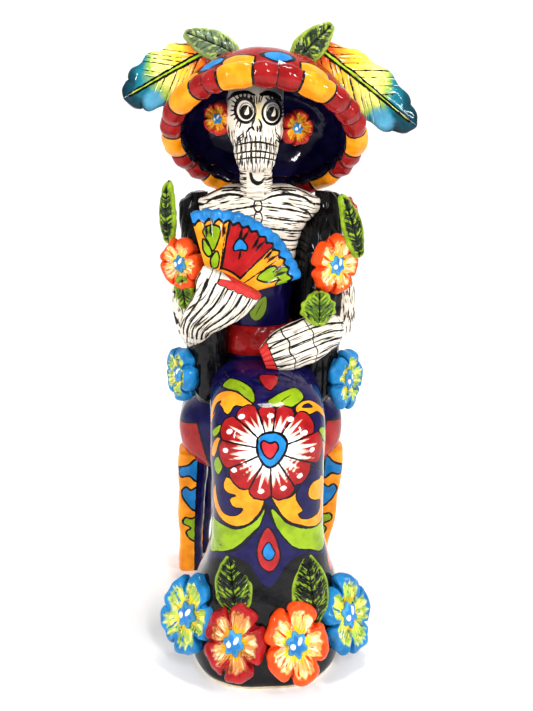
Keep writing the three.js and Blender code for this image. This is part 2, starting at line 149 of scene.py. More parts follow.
# ---- clay: a closed surface through rings of points ----
class Clay:
    def __init__(self, rings, wrap=False):
        self.p = np.asarray(rings, float)
        self.wrap = wrap
        self.marks = {}

    def steps(self):
        p = self.p
        along = (np.roll(p, -1, 0) - np.roll(p, 1, 0)) if self.wrap else np.gradient(p, axis=0)
        return along, np.roll(p, -1, 1) - np.roll(p, 1, 1)

    def handed(self):
        """1 where the steps' cross products point out of the clay, and -1 where they point in."""
        p = self.p - self.p.mean((0, 1))
        along, across = self.steps()
        return 1.0 if (p * np.cross(along, across)).sum() > 0 else -1.0

    def normals(self):
        along, across = self.steps()
        n = np.cross(along, across)
        return self.handed() * n / np.maximum(np.linalg.norm(n, axis=-1, keepdims=True), 1e-9)

    def push(self, by):
        self.p = self.p + self.normals() * np.broadcast_to(by, self.p.shape[:2])[..., None]
        return self

    def hand_worked(self, by, size, seed):
        return self.push(by * lumps(self.p, size, seed))

    def mark(self, **values):
        for name, value in values.items():
            self.marks[name] = np.broadcast_to(value, self.p.shape[:2]).astype(np.float32)
        return self

    def stand(self, at, facing, up=(0, 0, 1)):
        """Turns the local +Z to facing and +Y as near up as it can be, and moves the local origin to at."""
        z = unit(facing)
        x = unit(np.cross(up, z))
        self.p = self.p @ np.array([x, np.cross(z, x), z]) + np.array(at, float)
        return self

    def piece(self, node, slot, material):
        """Makes the mesh, in metres in the row's frame, and puts it in place of its CAD node."""
        name = node + "_clay"
        n, m, _ = self.p.shape
        points = self.p.reshape(-1, 3)
        i = np.arange(n if self.wrap else n - 1)[:, None]
        j = np.arange(m)[None, :]
        k, j1 = (i + 1) % n * m, (j + 1) % m
        quads = np.stack([i * m + j + 0 * k, i * m + j1 + 0 * k, k + j1, k + j], -1).reshape(-1, 4)
        tris = np.zeros((0, 3), int)
        if not self.wrap:
            ends = self.p[[0, -1]].mean(1)
            c0, c1 = n * m, n * m + 1
            j, j1 = np.arange(m), (np.arange(m) + 1) % m
            last = (n - 1) * m
            low = np.stack([j1, j, np.full(m, c0)], -1)
            high = np.stack([last + j, last + j1, np.full(m, c1)], -1)
            tris = np.vstack([low, high])
            points = np.vstack([points, ends])
        if self.handed() > 0:
            quads, tris = quads[:, ::-1], tris[:, ::-1]
        mesh = bpy.data.meshes.new(name)
        mesh.vertices.add(len(points))
        mesh.vertices.foreach_set("co", ((points + ANCHOR) / 1000).astype(np.float32).ravel())
        corners = np.concatenate([quads.ravel(), tris.ravel()]).astype(np.int32)
        mesh.loops.add(len(corners))
        mesh.loops.foreach_set("vertex_index", corners)
        starts = np.concatenate([np.arange(len(quads)) * 4, len(quads) * 4 + np.arange(len(tris)) * 3])
        mesh.polygons.add(len(starts))
        mesh.polygons.foreach_set("loop_start", starts.astype(np.int32))
        mesh.polygons.foreach_set("use_smooth", np.ones(len(starts), bool))
        mesh.update(calc_edges=True)
        for mark, value in self.marks.items():
            data = value.ravel()
            if not self.wrap:
                data = np.concatenate([data, value[[0, -1]].mean(1)])
            mesh.attributes.new(mark, "FLOAT", "POINT").data.foreach_set("value", data.astype(np.float32))
        mesh.materials.append(material)
        made = bpy.data.objects.new(name, mesh)
        bpy.context.scene.collection.objects.link(made)
        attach(made, "root")
        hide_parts(*node.split())
        return made


def stack(sections, power, rings, sides):
    """Level rings through sections of [height, middle x, middle y, half-width, half-depth]."""
    fine = spline(sections, rings)
    fine[:, 3:] = np.maximum(fine[:, 3:], 0.4)
    out = []
    for z, x, y, a, b in fine:
        out.append(level_ring(superellipse(a, b, power, sides), x, y, z))
    return Clay(out)


def limb(path, sizes, rings, sides, power=2.3, flat=(0, -1, 0)):
    """Rings square to a path, each half-width across it and half-thickness along flat."""
    centre = spline(path, rings)
    size = spline(sizes, rings)
    along = unit(np.gradient(centre, axis=0))
    across = unit(np.cross(along, flat))
    out = np.cross(across, along)
    flats = [superellipse(max(a, 0.4), max(b, 0.4), power, sides) for a, b in size]
    clay = Clay(
        [c + ring[:, :1] * u + ring[:, 1:] * v for c, ring, u, v in zip(centre, flats, across, out)]
    )
    run = np.concatenate([[0], np.cumsum(np.linalg.norm(np.diff(centre, axis=0), axis=1))])
    clay.run = np.broadcast_to(run[:, None], (rings, sides))
    clay.side = np.stack([ring[:, 0] for ring in flats])
    clay.front = np.stack([ring[:, 1] for ring in flats])
    return clay


# ---- the painter's shapes: signed distances in millimetres, negative inside ----
FAR = 30.0


def only(where, values):
    """The values there, and far away elsewhere."""
    return np.where(where, values, FAR)


def near_to(x, y, run):
    """Which points are near the run's box, and those points."""
    near = (x > run[:, 0].min() - 4) & (x < run[:, 0].max() + 4)
    near &= (y > run[:, 1].min() - 4) & (y < run[:, 1].max() + 4)
    return near, np.stack([x[near], y[near]], -1)


def off_span(q, a, b):
    """The way to each point from the nearest place on a straight span."""
    e, w = b - a, q - a
    t = np.clip((w @ e) / max(e @ e, 1e-9), 0, 1)
    return w - t[:, None] * e


def shape(x, y, outline):
    """A smooth closed shape through the points of its outline."""
    ring = spline(outline, 9 * len(outline), closed=True)
    near, q = near_to(x, y, ring)
    out = np.full(x.shape, FAR)
    best = np.full(len(q), FAR**2)
    inside = np.zeros(len(q), bool)
    for a, b in zip(ring, np.roll(ring, -1, 0)):
        e = b - a
        best = np.minimum(best, (off_span(q, a, b) ** 2).sum(-1))
        crosses = ((a[1] > q[:, 1]) != (b[1] > q[:, 1])) & (
            q[:, 0] < e[0] * (q[:, 1] - a[1]) / (e[1] if e[1] else 1e-9) + a[0]
        )
        inside ^= crosses
    out[near] = np.sqrt(best) * np.where(inside, -1, 1)
    return out


def shapes(x, y, *outlines):
    return np.minimum.reduce([shape(x, y, o) for o in outlines])


def ellipse(x, y, cx, cy, a, b, turn=0.0):
    c, s = np.cos(turn), np.sin(turn)
    u, v = (x - cx) * c + (y - cy) * s, -(x - cx) * s + (y - cy) * c
    return (np.sqrt((u / a) ** 2 + (v / b) ** 2) - 1) * min(a, b)


def line(x, y, points, width=0.5):
    """Within a brushed line through the points."""
    run = spline(points, 8 * len(points))
    near, q = near_to(x, y, run)
    out = np.full(x.shape, FAR)
    best = np.full(len(q), FAR)
    for k, (a, b) in enumerate(zip(run, run[1:])):
        taper = 0.45 + 0.55 * np.sin(np.pi * (k + 1) / len(run))
        best = np.minimum(best, np.linalg.norm(off_span(q, a, b), axis=-1) - width * taper)
    out[near] = best
    return out


def lines(x, y, width, *runs):
    return np.minimum.reduce([line(x, y, r, width) for r in runs])


# ---- glazes: node materials that read the marks ----
class Glaze:
    def __init__(self, name, colour, rough=0.13, coat=0.14, mottle=0.2):
        self.material = bpy.data.materials.new(name)
        self.material.use_nodes = True
        tree = self.material.node_tree
        self.nodes, self.links = tree.nodes, tree.links
        self.shader = self.nodes["Principled BSDF"]
        self.rough, self.coat = rough, coat
        place = self.nodes.new("ShaderNodeTexCoord")
        self.place = self.vector("SCALE", place.outputs["Object"], None, 1000)
        self.wobble = self.scaled(self.noise(self.place, 0.35, 2), -0.5, 0.5)
        self.cloud = self.noise(self.place, 0.09, 3)
        self.mottle = mottle
        self.colour = self.glazed(colour)

    def node(self, kind, **settings):
        made = self.nodes.new(kind)
        for key, value in settings.items():
            setattr(made, key, value)
        return made

    def feed(self, socket, value):
        if isinstance(value, bpy.types.NodeSocket):
            self.links.new(value, socket)
        elif value is not None:
            socket.default_value = value

    def math(self, operation, a, b=None, clamp=False):
        made = self.node("ShaderNodeMath", operation=operation, use_clamp=clamp)
        self.feed(made.inputs[0], a)
        self.feed(made.inputs[1], b)
        return made.outputs[0]

    def vector(self, operation, a, b=None, scale=None):
        made = self.node("ShaderNodeVectorMath", operation=operation)
        self.feed(made.inputs[0], a)
        self.feed(made.inputs[1], b)
        if scale is not None:
            self.feed(made.inputs["Scale"], scale)
        return made.outputs[0]

    def combine(self, x, y, z=0.0):
        made = self.node("ShaderNodeCombineXYZ")
        for socket, value in zip(made.inputs, (x, y, z)):
            self.feed(socket, value)
        return made.outputs[0]

    def noise(self, where, scale, detail=2):
        made = self.node("ShaderNodeTexNoise")
        self.feed(made.inputs["Vector"], where)
        self.feed(made.inputs["Scale"], float(scale))
        self.feed(made.inputs["Detail"], float(detail))
        return made.outputs["Fac"]

    def ramp(self, value, low, high, to_low=0.0, to_high=1.0):
        """Smoothly from to_low where value is low to to_high where it is high."""
        made = self.node("ShaderNodeMapRange", interpolation_type="SMOOTHSTEP")
        for socket, given in zip(made.inputs, (value, low, high, to_low, to_high)):
            self.feed(socket, given)
        return made.outputs["Result"]

    def scaled(self, value, low, high):
        return self.math("ADD", self.math("MULTIPLY", value, high - low), low)

    def mark(self, name):
        return self.node("ShaderNodeAttribute", attribute_name=name).outputs["Fac"]

    def mix(self, share, a, b):
        made = self.node("ShaderNodeMix", data_type="RGBA")
        self.feed(made.inputs[0], share)
        for socket, value in ((made.inputs[6], a), (made.inputs[7], b)):
            self.feed(socket, [*rgb(value), 1] if isinstance(value, str) else value)
        return made.outputs[2]

    def glazed(self, colour):
        """The colour, a little darker and lighter where the glaze ran thick and thin."""
        if not isinstance(colour, str):
            return colour
        c = np.array(rgb(colour))
        thick = [*(c * (1 - self.mottle)), 1]
        thin = [*np.clip(c * (1 + 0.6 * self.mottle) + 0.02 * self.mottle, 0, 1), 1]
        return self.mix(self.ramp(self.cloud, 0.35, 0.65), thick, thin)

    def inside(self, share, within, soft=0.3):
        """The share inside a mark, or all of it if there is no mark."""
        if within is None:
            return share
        return self.math("MULTIPLY", share, self.ramp(self.mark(within), soft, -soft))

    def distance(self, name, wobble=0.5):
        return self.math("ADD", self.mark(name), self.math("MULTIPLY", self.wobble, wobble))

    def fill(self, name, colour, edge=0.5, gap=0.0, ink=LINE, wobble=0.5, soft=0.12):
        """Fills inside a mark, inside its brushed outline. A gap shows bare slip beside the outline."""
        d = self.distance(name, wobble)
        if gap:
            bare = self.math("ADD", d, self.scaled(self.noise(self.place, 0.25, 1), -gap, gap * 0.4))
            self.colour = self.mix(self.ramp(d, soft, -soft), self.colour, CREAM)
            self.colour = self.mix(
                self.ramp(bare, -edge + soft, -edge - soft), self.colour, self.glazed(colour)
            )
        else:
            self.colour = self.mix(self.ramp(d, soft, -soft), self.colour, self.glazed(colour))
        if edge:
            self.outline(d, edge, ink, soft)
        return self

    def stroke(self, name, half=0.45, within=None, wobble=0.5, soft=0.12):
        """A brushed line along the zero of a mark, which is an alternative to outlining a fill."""
        width = self.scaled(self.noise(self.place, 0.22, 1), half * 0.35, half * 1.65)
        share = self.ramp(
            self.math("SUBTRACT", self.math("ABSOLUTE", self.distance(name, wobble)), width), soft, -soft
        )
        share = self.inside(share, within)
        self.colour = self.mix(share, self.colour, LINE)
        return self

    def outline(self, d, edge, ink=LINE, soft=0.12):
        width = self.scaled(self.noise(self.place, 0.22, 1), edge * 0.45, edge * 1.95)
        from_line = self.math("SUBTRACT", self.math("ABSOLUTE", d), width)
        self.colour = self.mix(self.ramp(from_line, soft, -soft), self.colour, ink)

    def ink(self, name, colour=LINE, wobble=0.3, soft=0.12):
        """Paints plainly inside a mark."""
        self.colour = self.mix(
            self.ramp(self.distance(name, wobble), soft, -soft), self.colour, self.glazed(colour)
        )
        return self

    def brushed(self, along, across, colour=LINE, amount=0.5, length=0.05, width=0.55, within=None):
        """Dry brush strokes that run along one mark and are spread across another."""
        where = self.combine(
            self.math("MULTIPLY", self.mark(along), length), self.math("MULTIPLY", self.mark(across), width)
        )
        grain = self.noise(where, 1.0, 3)
        share = self.ramp(grain, 0.66 - 0.25 * amount, 0.74 - 0.25 * amount)
        share = self.inside(share, within)
        self.colour = self.mix(share, self.colour, colour)
        return self

    def graded(self, name, stops):
        """Colours the whole piece along a mark, through stops of (value, colour)."""
        made = self.node("ShaderNodeValToRGB")
        points = made.color_ramp.elements
        while len(points) < len(stops):
            points.new(0.5)
        for point, (at, colour) in zip(points, stops):
            point.position = at
        for point, (at, colour) in zip(points, stops):
            point.color = [*rgb(colour), 1]
        share = self.math("ADD", self.mark(name), self.scaled(self.noise(self.place, 0.2, 3), -0.05, 0.05))
        self.feed(made.inputs["Fac"], share)
        self.colour = made.outputs["Color"]
        return self

    def streaked(self, rays, ux, uy, colour, within, amount, fineness):
        """Rays of colour from the middle of a flower."""
        spread = [self.math("MULTIPLY", self.mark(u), fineness) for u in (ux, uy)]
        where = self.combine(*spread, self.math("MULTIPLY", self.mark(rays), 0.09))
        grain = self.noise(where, 1.0, 3)
        share = self.ramp(grain, 0.72 - 0.35 * amount, 0.80 - 0.35 * amount)
        share = self.inside(share, within, 2.0)
        self.colour = self.mix(share, self.colour, colour)
        return self

    def done(self, relief=0.22, size=0.12):
        s = self.shader.inputs
        self.feed(s["Base Color"], self.colour)
        self.feed(s["Roughness"], self.scaled(self.cloud, self.rough * 0.7, self.rough * 1.3))
        self.feed(s["Specular IOR Level"], 0.11)
        self.feed(s["Coat Weight"], self.coat)
        self.feed(s["Coat Roughness"], 0.02)
        made = self.node("ShaderNodeBump")
        self.feed(made.inputs["Strength"], 1.0)
        self.feed(made.inputs["Distance"], relief / 1000)
        self.feed(made.inputs["Height"], self.noise(self.place, size, 2))
        self.links.new(made.outputs["Normal"], s["Normal"])
        self.links.new(made.outputs["Normal"], s["Coat Normal"])
        return self.material


# ---- the glazes that several pieces share ----
BLACK_GLAZE = Glaze("black_glaze", BLACK).done()


def bone_glaze(name, rough=0.3):
    return Glaze(name + "_glaze", BONE, rough=rough, mottle=0.08)


# ---- skirt: a hollow column over the shins, bent at the knees into the lap ----
HALF, FRONT_Y, BACK_Y = 45, -131, -53
LAP_TOP, LAP_BOTTOM, LAP_END = 241, 188, 31
SKIRT_SIDES = 324
SKIRT_WALL = 7
BIG_FLOWER_UP = 204


def skirt_rings():
    """Rings up the column, round the knees and back along the lap. The first ones go up inside."""
    hem = [
        (0, -2.5, 58, -146, -26), (10, -2.5, 62, -149, -23), (36, -2, 64, -148, -26),
        (64, -1, 59, -141, -35)
    ]
    hem += [(92, 0, 50, -134, -46), (122, 0, 45, -130, -52), (LAP_BOTTOM, 0, HALF, FRONT_Y, BACK_Y)]
    column = spline(hem, 160)
    rings, run = [], []

    def level(z, x, half, front, back, wall=0.0):
        ring = superellipse(half - wall, (back - front) / 2 - wall, 2.5, SKIRT_SIDES)
        return level_ring(ring, x, (front + back) / 2, z)

    inside = [column[k] for k in range(len(column) - 1, 0, -8)] + [column[0]]
    for z, x, half, front, back in inside:
        rings.append(level(max(z, 0.5), x, half, front, back, SKIRT_WALL))
        run.append(-10 - z)
    rings.append(level(0.0, *column[0, 1:], 5.5))
    rings.append(level(0.0, *column[0, 1:], 1.0))
    run += [-6, -1]
    for z, x, half, front, back in column:
        rings.append(level(z, x, half, front, back))
        run.append(z)
    height = LAP_TOP - LAP_BOTTOM
    for turn in np.linspace(0, np.pi / 2, 76)[1:]:
        y, z = -(BACK_Y - FRONT_Y) * np.cos(turn) ** 0.8, height * np.sin(turn) ** 0.8
        depth = np.hypot(y, z)
        ring = superellipse(HALF, depth / 2, 2.5 + 0.3 * np.sin(turn), SKIRT_SIDES)
        out = np.array([0, y, z]) / depth
        rings.append(
            np.array([0, BACK_Y, LAP_BOTTOM])
            + ring[:, :1] * [1, 0, 0]
            + (depth / 2 - ring[:, 1:]) * out
        )
    for y in np.arange(BACK_Y + 1.2, LAP_END, 1.8):
        shrink = 10 * smooth(y, LAP_END - 18, LAP_END) ** 2
        ring = superellipse(HALF - shrink, height / 2 - shrink / 2, 2.8, SKIRT_SIDES)
        rings.append(
            np.column_stack([ring[:, 0], np.full(SKIRT_SIDES, y), LAP_BOTTOM + height / 2 - ring[:, 1]])
        )
    rings = np.array(rings)
    outer = rings[len(run) - len(column) :]
    front = outer[:, np.argmin(outer[0, :, 1] + 0.001 * np.abs(outer[0, :, 0]))]
    far = np.concatenate([[0], np.cumsum(np.linalg.norm(np.diff(front, axis=0), axis=1))])
    return rings, np.concatenate([run[: len(run) - len(column)], far])


def across_front(rings):
    """Distance round each ring from the middle of its front, positive towards her left."""
    closed = np.concatenate([rings, rings[:, :1]], 1)
    at = np.concatenate(
        [np.zeros((len(rings), 1)), np.cumsum(np.linalg.norm(np.diff(closed, axis=1), axis=2), 1)], 1
    )
    whole, at = at[:, -1:], at[:, :-1]
    middle = at[:, [3 * SKIRT_SIDES // 4]]
    return (at - middle + whole / 2) % whole - whole / 2


# Shapes on the skirt's front, as distances across it and up its front line, in millimetres.
PETAL_TIPS = (
    (-19, 239), (-2, 239), (14, 238), (32, 230), (48, 200), (29, 178), (10, 163), (-8, 163),
    (-27, 174), (-42, 198), (-38, 224),
)
WHITE_DOTS = (
    (-21, 230), (1, 230), (16, 227), (27, 216), (34, 201), (23, 181), (10, 172), (-7, 170),
    (-28, 186), (-35, 202), (-31, 218),
)
LIME_SHAPES = (
    (
        (-36, 270), (-30, 279), (-24, 275), (-16, 265), (-11, 255), (-10, 246), (-12, 242),
        (-18, 248), (-24, 257), (-31, 262),
    ),
    (
        (-1, 243), (4, 248), (12, 254), (22, 259), (28, 248), (19, 238), (11, 237), (4, 238),
    ),
    (
        (-53, 217), (-44, 223), (-38, 224), (-41, 217), (-49, 212),
    ),
    (
        (-50, 186), (-44, 194), (-39, 189), (-38, 185), (-43, 178), (-48, 180),
    ),
    (
        (42, 218), (52, 220), (58, 212), (56, 202), (46, 210),
    ),
    (
        (50, 183), (54, 188), (60, 180), (58, 168), (52, 174),
    ),
    (
        (-3, 160), (-4, 151), (-7, 141), (-16, 131), (-25, 121), (-34, 115), (-46, 110), (-62, 104),
        (-66, 116), (-60, 134), (-45, 136), (-36, 136), (-26, 136), (-16, 141), (-8, 149),
    ),
    (
        (0, 156), (6, 151), (12, 143), (20, 138), (30, 134), (41, 132), (58, 132), (64, 118),
        (54, 110), (44, 109), (34, 114), (22, 118), (13, 125), (6, 135), (2, 146),
    ),
)
ORANGE_SHAPES = (
    (
        (-58, 226), (-56, 240), (-47, 256), (-36, 261), (-26, 257), (-18, 248), (-12, 240),
        (-20, 239), (-26, 240), (-31, 233), (-35, 235), (-39, 244), (-43, 242), (-48, 234),
    ),
    (
        (20, 236), (25, 243), (33, 246), (41, 244), (50, 240), (56, 230), (47, 232), (40, 235),
        (34, 232), (24, 230),
    ),
    (
        (-56, 191), (-53, 203), (-45, 212), (-40, 212), (-43, 205), (-49, 191),
    ),
    (
        (47, 206), (57, 202), (58, 192), (55, 185), (51, 192),
    ),
    (
        (-40, 176), (-34, 179), (-27, 178), (-19, 175), (-15, 170), (-11, 165), (-5, 164),
        (-5, 158), (-9, 150), (-16, 142), (-25, 138), (-34, 138), (-44, 141), (-52, 148),
        (-54, 160), (-47, 170),
    ),
    (
        (0, 167), (7, 163), (17, 165), (24, 172), (42, 176), (54, 168), (60, 152), (57, 138),
        (45, 132), (33, 134), (24, 138), (13, 144), (6, 154),
    ),
)
CRESCENTS = (
    (
        (-46, 180), (-38, 188), (-35, 180), (-38, 172), (-37, 167), (-32, 165), (-26, 165),
        (-32, 161), (-31, 156), (-27, 154), (-21, 154), (-26, 148), (-34, 146), (-41, 148),
        (-46, 156), (-48, 166),
    ),
    (
        (28, 184), (37, 185), (46, 179), (45, 173), (36, 173), (31, 168), (31, 161), (37, 156),
        (47, 152), (45, 144), (36, 142), (27, 143), (22, 148), (26, 151), (22, 158), (20, 165),
        (23, 172),
    ),
)
LAP_SWIRLS = (
    (
        (-50, 236), (-44, 247), (-38, 249), (-42, 243),
    ),
    (
        (26, 238), (31, 242), (35, 239), (31, 238),
    ),
)
COBALT_ZONE = (
    (-3, 152), (-8, 140), (-16, 128), (-26, 118), (-36, 113), (-26, 111), (-18, 108), (-13, 101),
    (-8, 93), (-1, 88), (5, 93), (11, 103), (17, 109), (25, 112), (34, 114), (20, 119), (10, 130),
    (3, 142),
)
DROPS = (
    (
        (-2, 139), (-7, 132), (-10, 122), (-10, 113), (-7, 105), (-1, 101), (5, 105), (8, 114),
        (6, 124), (3, 133),
    ),
    (
        (-6, 277), (2, 280), (9, 276), (8, 265), (2, 255), (-4, 263),
    ),
)
BLUE_DROP = ((-1, 126), (-5, 121), (-6, 116), (-3, 111), (1, 111), (4, 116), (2, 121))
PENTAGON = (
    (-10, 207), (-8, 214), (-1, 217), (7, 216), (12, 211), (12, 204), (7, 195), (0, 190), (-5, 193),
    (-9, 200),
)
HEART = ((-7, 208), (-5, 211), (0, 209), (4, 210), (6, 206), (4, 201), (0, 197), (-5, 201))


def skirt():
    rings, run = skirt_rings()
    clay = Clay(rings)
    clay.hand_worked(0.5, 38, 1)
    a = across_front(rings)
    v = np.broadcast_to(run[:, None], a.shape)
    # The big flower's petals bulge past its centre in every direction, and their seams run between them.
    turn = np.degrees(np.arctan2(v - BIG_FLOWER_UP, a))
    reach = np.hypot(a, v - BIG_FLOWER_UP)
    tips = [
        (np.degrees(np.arctan2(y - BIG_FLOWER_UP, x)), np.hypot(x, y - BIG_FLOWER_UP)) for x,
        y in PETAL_TIPS
    ]
    to_tip = np.array([np.abs((turn - t + 180) % 360 - 180) for t, _ in tips])
    order = np.sort(to_tip, 0)
    nearest = np.array([length for _, length in tips])[to_tip.argmin(0)]
    between = (order[1] - order[0]) / (order[1] + order[0])
    edge = reach - nearest * (0.86 + 0.14 * np.clip(between * 1.7, 0, 1) ** 0.5)
    # A seam is where the sign changes between two petals.
    # Their number is odd, so the last petal has a side of each sign.
    parity = 1 - 2 * (to_tip.argmin(0) % 2)
    last = len(tips) - 1
    joined = (to_tip.argsort(0)[:2] == 0).any(0) & (to_tip.argsort(0)[:2] == last).any(0)
    gap = (order[1] - order[0]) / 2 * reach / RADIAN
    seams = np.where(joined, np.where(to_tip.argmin(0) == 0, gap, -gap), parity * gap)
    ragged = 0.62 + 0.13 * np.sin(turn / RADIAN * 37) + 0.07 * np.sin(
        turn / RADIAN * 17 + 1
    ) + 0.06 * np.sin(turn / RADIAN * 61)
    white = np.min([ellipse(a, v, x, y, 2.7, 2.1, 0.3) for x, y in WHITE_DOTS], 0)
    panel = (
        (-70, 300), (70, 300), (70, 112), (46, 106), (30, 112), (0, 120), (-30, 112), (-46, 106), (-70, 112)
    )
    veins = [
        [(8, 241), (13, 246), (18, 250)], [(-26, 267), (-20, 262), (-16, 254)],
        [(-52, 122), (-44, 118), (-38, 117)]
    ]
    clay.mark(
        flower=edge,
        seams=seams,
        petals=np.maximum(edge + 0.4, 2 - to_tip[last] * reach / RADIAN),
        white=reach - nearest * ragged * (0.9 + 0.1 * between),
        whiter=reach - nearest * (ragged - 0.06) * (0.9 + 0.1 * between),
        dots=white,
        ring=shape(a, v, PENTAGON),
        heart=shape(a, v, HEART),
        panel=np.minimum(shape(a, v, panel), shape(a, v, COBALT_ZONE)),
        zone=shape(a, v, COBALT_ZONE),
        lime=shapes(a, v, *LIME_SHAPES),
        veins=lines(a, v, 0.5, *veins),
        orange=shapes(a, v, *ORANGE_SHAPES),
        crescents=shapes(a, v, *CRESCENTS, *LAP_SWIRLS),
        drops=shapes(a, v, *DROPS),
        blue_drop=shape(a, v, BLUE_DROP),
        bare=v - 3.2,
        patch=shape(a, v, [(60, 120), (68, 116), (74, 100), (66, 84), (60, 96)]),
    )
    g = Glaze("skirt_glaze", BLACK, rough=0.1)
    g.fill("panel", COBALT, edge=0)
    g.fill("patch", "#e2503c", edge=0.5)
    g.fill("orange", ORANGE, edge=0.6, gap=0.3)
    g.fill("crescents", COBALT, edge=0.5)
    g.fill("lime", LIME, edge=0.6, gap=0.3)
    g.ink("veins")
    g.fill("zone", COBALT, edge=0.5)
    g.fill("drops", "#a81f24", edge=0.6, gap=0.2)
    g.fill("blue_drop", SKY, edge=0.5)
    g.fill("flower", "#9a1114", edge=0.65, gap=0.5)
    g.fill("white", "#e9b9a0", edge=0, wobble=3.0, soft=2.2)
    g.fill("whiter", WHITE, edge=0, wobble=2.5, soft=0.9)
    g.stroke("seams", 0.75, "petals", wobble=0.8)
    g.ink("dots", WHITE)
    g.fill("ring", SKY, edge=0.8, gap=0.2)
    g.fill("heart", "#c02c33", edge=0.6)
    g.ink("bare", "#d9c7a4", wobble=1.2)
    clay.piece("skirt", "cobalt_glaze", g.done())


# ---- torso, belt and neck ----
def fan_of_ribs(x, z, first, last, spacing, sag):
    """Rib lines that fall away from the breastbone."""
    wave = (z - first + sag * np.abs(x) ** 1.5) / spacing
    rib = np.sin(np.pi * wave) * spacing / np.pi
    return np.maximum.reduce([np.abs(rib) - 0.7, z - first - 1, last - z, 5.5 - np.abs(x)])


TORSO_X = -3
BODICE_TOP = 309
RIB_TOP, RIB_STEP = 366, 8.2


def torso():
    sections = [
        (236, TORSO_X, -2, 31, 27),
        (252, TORSO_X, -3, 28, 25),
        (272, TORSO_X, -4, 26, 23),
        (296, TORSO_X, -4, 28, 24),
        (318, TORSO_X, -4, 30, 26),
        (336, TORSO_X, -3, 33, 27),
        (350, TORSO_X, -2, 40, 26),
        (362, TORSO_X + 1, -1, 50, 22),
        (372, TORSO_X + 1, 0, 44, 17),
        (380, TORSO_X + 1, 0, 26, 12),
    ]
    clay = stack(sections, 2.4, 190, 260)
    x, z = clay.p[..., 0] - TORSO_X, clay.p[..., 2]
    front = smooth(-clay.p[..., 1], 2, 12)
    sag = 0.026 * np.abs(x) ** 1.5
    ribbed = front * smooth(z, BODICE_TOP, BODICE_TOP + 4) * smooth(-z, -372, -366)
    wave = (z - RIB_TOP + sag) / RIB_STEP
    clay.push(1.1 * ribbed * (np.abs(np.sin(np.pi * wave)) ** 0.6 - 0.5) * smooth(np.abs(x), 3, 6))
    collar_z = 373 + 3.0 * smooth(np.abs(x), 4, 16) - 8 * smooth(np.abs(x), 26, 48)
    clay.push(2.0 * smooth(-clay.p[..., 1], -4, 4) * bump(z, collar_z, 2.4) * smooth(np.abs(x), 3, 7))
    clay.push(
        1.2 * front * bump(x, 0, 3.2) * smooth(-z, -370, -366) * smooth(z, BODICE_TOP, BODICE_TOP + 4)
    )
    clay.hand_worked(0.35, 22, 4)
    x = clay.p[..., 0] - TORSO_X
    runs = []
    for s in (-1, 1):
        runs.append([(s * 2, 373), (s * 8, 377.5), (s * 20, 379), (s * 34, 376), (s * 46, 370)])
        runs.append([(s * 3, 370), (s * 12, 373), (s * 24, 374), (s * 36, 371), (s * 46, 365)])
        runs.append([(s * 10, 376), (s * 18, 377), (s * 30, 375.5)])
        runs.append([(s * 32, 364), (s * 40, 360), (s * 44, 354)])
    beads = [(-1, 366 - 9 * k, 3.2, 4.6) for k in range(5)]
    rings = np.min([np.abs(ellipse(x, z, *b)) - 0.6 for b in beads], 0)
    notch = shape(x, z, [(-7, 376), (-1, 373), (5, 376), (3, 371), (-1, 369), (-5, 371)])
    leaf_shape = [(-8, 276), (-8, 284), (-2, 289), (5, 293), (6, 285), (3, 276), (-3, 272)]
    clay.mark(
        ribs=np.maximum(fan_of_ribs(x, z, RIB_TOP, BODICE_TOP, RIB_STEP, 0.026), clay.p[..., 1] - 4),
        ink=np.minimum.reduce([lines(x, z, 0.85, *runs), rings, notch]),
        along=clay.p[..., 0],
        across=z + sag,
        bodice=z - BODICE_TOP - 2.5 * np.abs(x) / 20,
        leaf=shape(x, z, leaf_shape) + only(clay.p[..., 1] < 0, 0),
        vein=line(x, z, [(-4, 276), (-1, 282), (3, 289)], 0.4),
    )
    g = bone_glaze("torso")
    g.brushed("along", "across", length=0.07, width=0.6, amount=0.5)
    g.ink("ribs", wobble=1.1)
    g.ink("ink", wobble=0.7)
    g.fill("bodice", COBALT, edge=0.6)
    g.fill("leaf", "#7d9a22", edge=0.3)
    g.ink("vein")
    clay.piece("torso", "bone_glaze", g.done(relief=0.2))


def belt():
    sections = [
        (243, TORSO_X, -4, 31, 28), (249, TORSO_X, -4, 33, 30), (259, TORSO_X, -4, 32, 29),
        (267, TORSO_X, -4, 28.5, 25.5)
    ]
    clay = stack(sections, 2.4, 60, 220)
    clay.hand_worked(0.7, 12, 5)
    g = Glaze("belt_glaze", "#941010", rough=0.1)
    clay.piece("belt", "red_glaze", g.done(relief=0.4))


HEAD_X = -6


def neck():
    sections = [
        (368, -4, -4, 17, 13), (376, -4.5, -8, 14, 13), (387, -5, -11, 13, 14), (404, HEAD_X, -14, 13, 15)
    ]
    clay = stack(sections, 2.1, 90, 170)
    z = clay.p[..., 2]
    clay.push(0.35 * np.sin(z * 1.5 + lumps(clay.p, 9, 3) * 2))
    clay.hand_worked(0.4, 12, 6)
    x, z = clay.p[..., 0] - HEAD_X, clay.p[..., 2]
    # A black U under the chin is painted shadow, the shade the chin throws on the throat. The ink mark
    # carries it.
    chin_shadow = shape(
        x, z, [(-5, 393), (-3.5, 386), (1, 383), (6, 385), (7, 389), (3, 386.5), (-1, 388), (-3, 393)]
    )
    clay.mark(along=clay.p[..., 0], across=z, sides=7 - np.abs(x), ink=only(clay.p[..., 1] < -12, chin_shadow))
    g = bone_glaze("neck")
    g.brushed("along", "across", length=0.08, width=0.6, amount=0.2)
    g.brushed("along", "across", length=0.09, width=0.75, amount=0.7, within="sides")
    # On the neck, the ink is the painted chin shadow.
    g.ink("ink", wobble=0.6)
    clay.piece("neck", "bone_glaze", g.done(relief=0.2))


